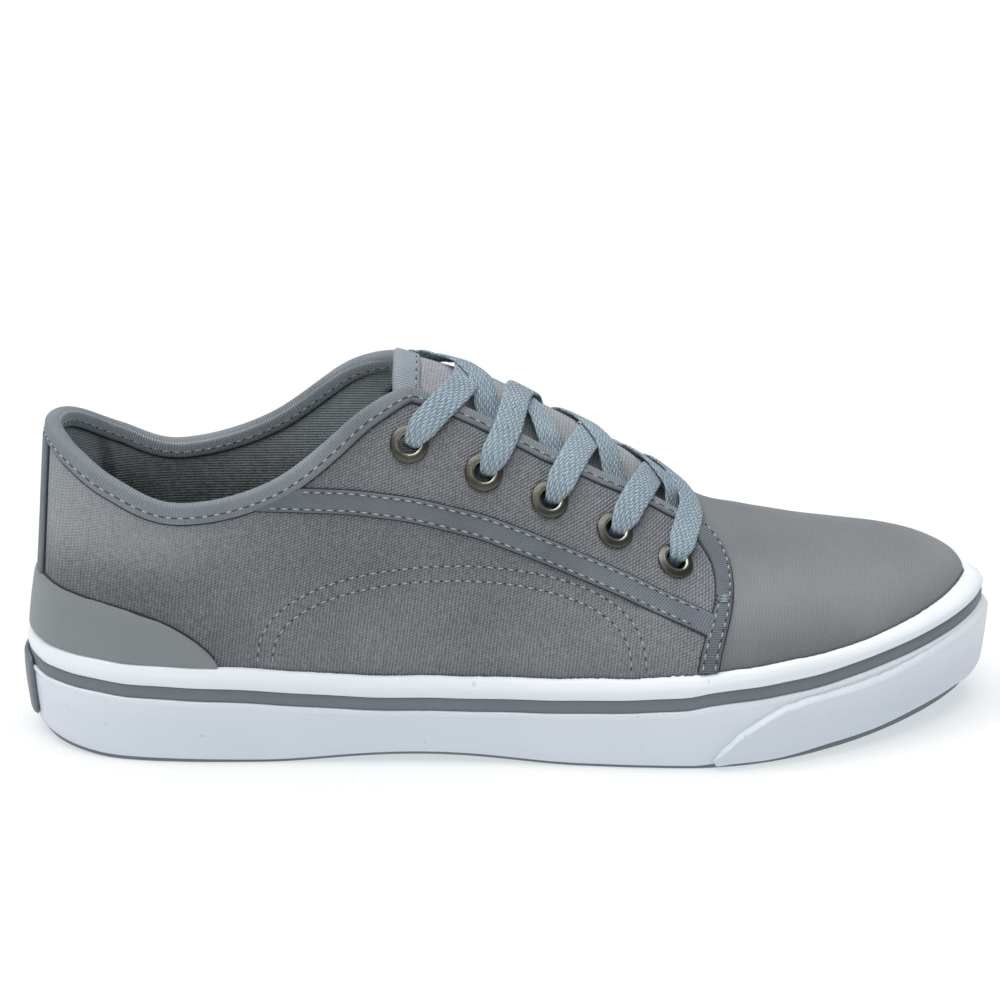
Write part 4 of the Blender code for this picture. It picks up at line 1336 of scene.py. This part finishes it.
def bindingStitches():
    mesh = bmesh.new()
    sewRow(mesh, edgePoint(bindingRun, bindingSewn(), binding["face"] + 0.12), bindingNormals, 3.6)
    sewRow(mesh, edgePoint(collarOnly, binding["stitchInside"], -last["wallThick"] - 1.42), collarNormals)
    return mesh


setPiece("collarStitches", bindingStitches(), [thread, needleHoleShade], ())


def sideStitches(medial):
    mesh = bmesh.new()
    for across in (-eyestay["stitch"], eyestay["stitch"]):
        line = eyestayLine(medial, across, 0.98)[2:-6]
        sewRow(mesh, line, sideNormals(line, medial))
    rear, front = (vampTapeLine(medial, share, 1.84) for share in (0.16, 0.78))
    low = tapeLevels < vampTape["tack"]
    for line in (rear[low], front[low], front[~low]):
        sewRow(mesh, line, sideNormals(line, medial), vampTape["pitch"])
    # bar tack: threads close together across the tape
    rear, front = (vampTapeLine(medial, share, 1.95) for share in (0.08, 0.92))
    places = np.arange(len(tapeLevels))
    start = int(np.argmin(np.abs(tapeLevels - vampTape["tack"])))
    normal = sideNormals(rear, medial)[0]
    for k in range(5):
        rise = start + (k - 2) * 0.7
        near = onLine([rise + 0.3], places, rear)[0]
        away = onLine([rise - 0.3], places, front)[0]
        ahead = unit(away - near)
        up = unit(normal - ahead * normal.dot(ahead))
        long = np.linalg.norm(away - near) * (0.62 + 0.12 * (k % 3))
        oneStitch(mesh, toFrame((near + away) / 2), ahead, up, (long, 0.36, 0.4), 0)
    # painted shade: dark spots for the needle holes at the tack's ends
    for share in (0.02, 0.98):
        edge = toFrame(vampTapeLine(medial, share, 1.8))
        for k in (-2, 0, 2):
            oneStitch(mesh, edge[start + k], (0, 0, 1), (0, 1 if medial else -1, 0), stitch["hole"], 1)
    return mesh


for side, medial in sides:
    setPiece(side + "Stitches", sideStitches(medial), [thread, needleHoleShade], ())

# lower quarter: two sewn arcs over the reinforcement inside
arc = {"from": 71.0, "to": 186.0, "foot": 31.5, "tall": 30.0, "apart": 4.4}


def arcStitches(medial):
    mesh = bmesh.new()
    turn = np.linspace(-1, 1, 160) * math.pi / 2
    for inset in (0.0, arc["apart"]):
        x = (arc["from"] + arc["to"]) / 2 + ((arc["to"] - arc["from"]) / 2 - inset) * np.sin(turn)
        t = sideRow(x, medial)
        w = shareAtHeight(t, arc["foot"] + (arc["tall"] - inset) * np.cos(turn) ** 0.8)
        sewRow(mesh, onUpper(t, w, 0.12), wallNormal(t, w), vampTape["pitch"])
    return mesh


for side, medial in sides:
    setPiece(side + "ArcStitches", arcStitches(medial), [thread, needleHoleShade], ())


def tongueStitches():
    mesh = bmesh.new()
    share = np.linspace(-0.96, 0.96, 60)
    normals = wallNormal(*overTongue(tongue["top"], share * tongue["half"]))
    sewRow(mesh, tonguePoint(tongue["top"] + 5.4, share, 0.9), normals)
    return mesh


# painted shade: dark cords where a tape's edge meets the cloth, standing in for the shadowed gap
shadeLine = {"wide": 0.6, "fine": 0.34, "ring": 6}


def shadeLineMesh(line, normals, wide):
    across = unit(np.cross(unit(np.gradient(line, axis=0)), normals))
    return strapMesh(line, across, wide, wide * 0.8, shadeLine["ring"])


def collarShadeLines():
    low = edgePoint(bindingRun, bindingWide(bindingRun) + 0.2, 0.72)
    sewn = edgePoint(bindingRun, bindingSewn(), binding["face"] + 0.06)
    inner = edgePoint(collarOnly, binding["inside"] + 0.15, -last["wallThick"] - 0.3)
    return joined([shadeLineMesh(low, bindingNormals, shadeLine["wide"]), shadeLineMesh(sewn, bindingNormals, shadeLine["fine"]),
                   shadeLineMesh(inner, collarNormals, shadeLine["wide"])])


def sideShadeLines(medial):
    lines = [eyestayLine(medial, sign * (eyestay["wide"] / 2 + 0.15), 0.2) for sign in (-1, 1)]
    lines += [vampTapeLine(medial, -0.04, 0.75), vampTapeLine(medial, 1.03, 0.12)]
    return joined([shadeLineMesh(line, sideNormals(line, medial), shadeLine["wide"] * 0.85) for line in lines])


def heelShadeLines():
    made = []
    for sign in (-1, 1):
        t = np.full(60, sign * heelStrip["row"] * 1.02)
        low = counterTop(t)
        w = shareAtHeight(t, low + np.linspace(0, 1, 60) * (along("collar", t) - binding["collar"] - low))
        made.append(shadeLineMesh(onUpper(t, w, 0.25), wallNormal(t, w), shadeLine["wide"] * 1.3))
    reach = float(rowAt(counter["reach"] - 1.5))
    t = np.linspace(-reach, reach, counter["count"])
    w = shareAtHeight(t, counterTop(t) + 0.25)
    made.append(shadeLineMesh(onUpper(t, w, 0.2), wallNormal(t, w), shadeLine["wide"]))
    return joined(made)


# painted shade: dark cords along the tapes' edges
setPiece("collarShadeLines", collarShadeLines(), [edgeShade], ())
for side, medial in sides:
    setPiece(side + "ShadeLines", sideShadeLines(medial), [edgeShade], ())
setPiece("heelShadeLines", heelShadeLines(), [edgeShade], ())
setPiece("tongueStitches", tongueStitches(), [thread, needleHoleShade], ())
print("stitches done")

# floor, light and camera
floorMesh = bmesh.new()
bmesh.ops.create_grid(floorMesh, x_segments=8, y_segments=8, size=4.0)
floorData = bpy.data.meshes.new("floor")
floorMesh.to_mesh(floorData)
floorMesh.free()
floorFinish = Finish("floor", Base_Color=(0.40, 0.355, 0.33, 1.0), Roughness=0.85,
                     Emission_Color=(0.87, 0.955, 1.0, 1.0), Emission_Strength=0.62)
floorData.materials.append(floorFinish.material)
floor = linked("floor", floorData)

studio = {"sky": (0.90, 0.955, 1.0, 1.0), "skyPower": 0.255}
# soft lights: power, turn in degrees, breadth
lights = {
    "overhead": (2.42, (-4, -4, 0), 60),
    "front": (0.46, (50, 0, -18), 40),
    "side": (0.5, (0, -30, 0), 20),
}
world = bpy.data.worlds.new("studio")
world.use_nodes = True
background = world.node_tree.nodes["Background"]
background.inputs["Color"].default_value = studio["sky"]
background.inputs["Strength"].default_value = studio["skyPower"]
bpy.context.scene.world = world
for name, (power, turn, breadth) in lights.items():
    lightData = bpy.data.lights.new(name, "SUN")
    lightData.energy = power
    lightData.angle = math.radians(breadth)
    linked(name, lightData).rotation_euler = [math.radians(angle) for angle in turn]
bpy.context.scene.view_settings.view_transform = "Standard"

camera = {"at": (77.5, -1031.3, 407.3), "pitch": 18.14, "yaw": -3.81, "lens": 127.55}
cameraData = bpy.data.cameras.new("camera")
cameraData.lens = camera["lens"]
cameraData.sensor_width = 36.0
cameraData.clip_end = 50.0
viewer = linked("camera", cameraData)
viewer.location = toFrame(np.array(camera["at"]))
viewer.rotation_euler = (math.radians(90 - camera["pitch"]), 0.0, math.radians(camera["yaw"]))
bpy.context.scene.camera = viewer
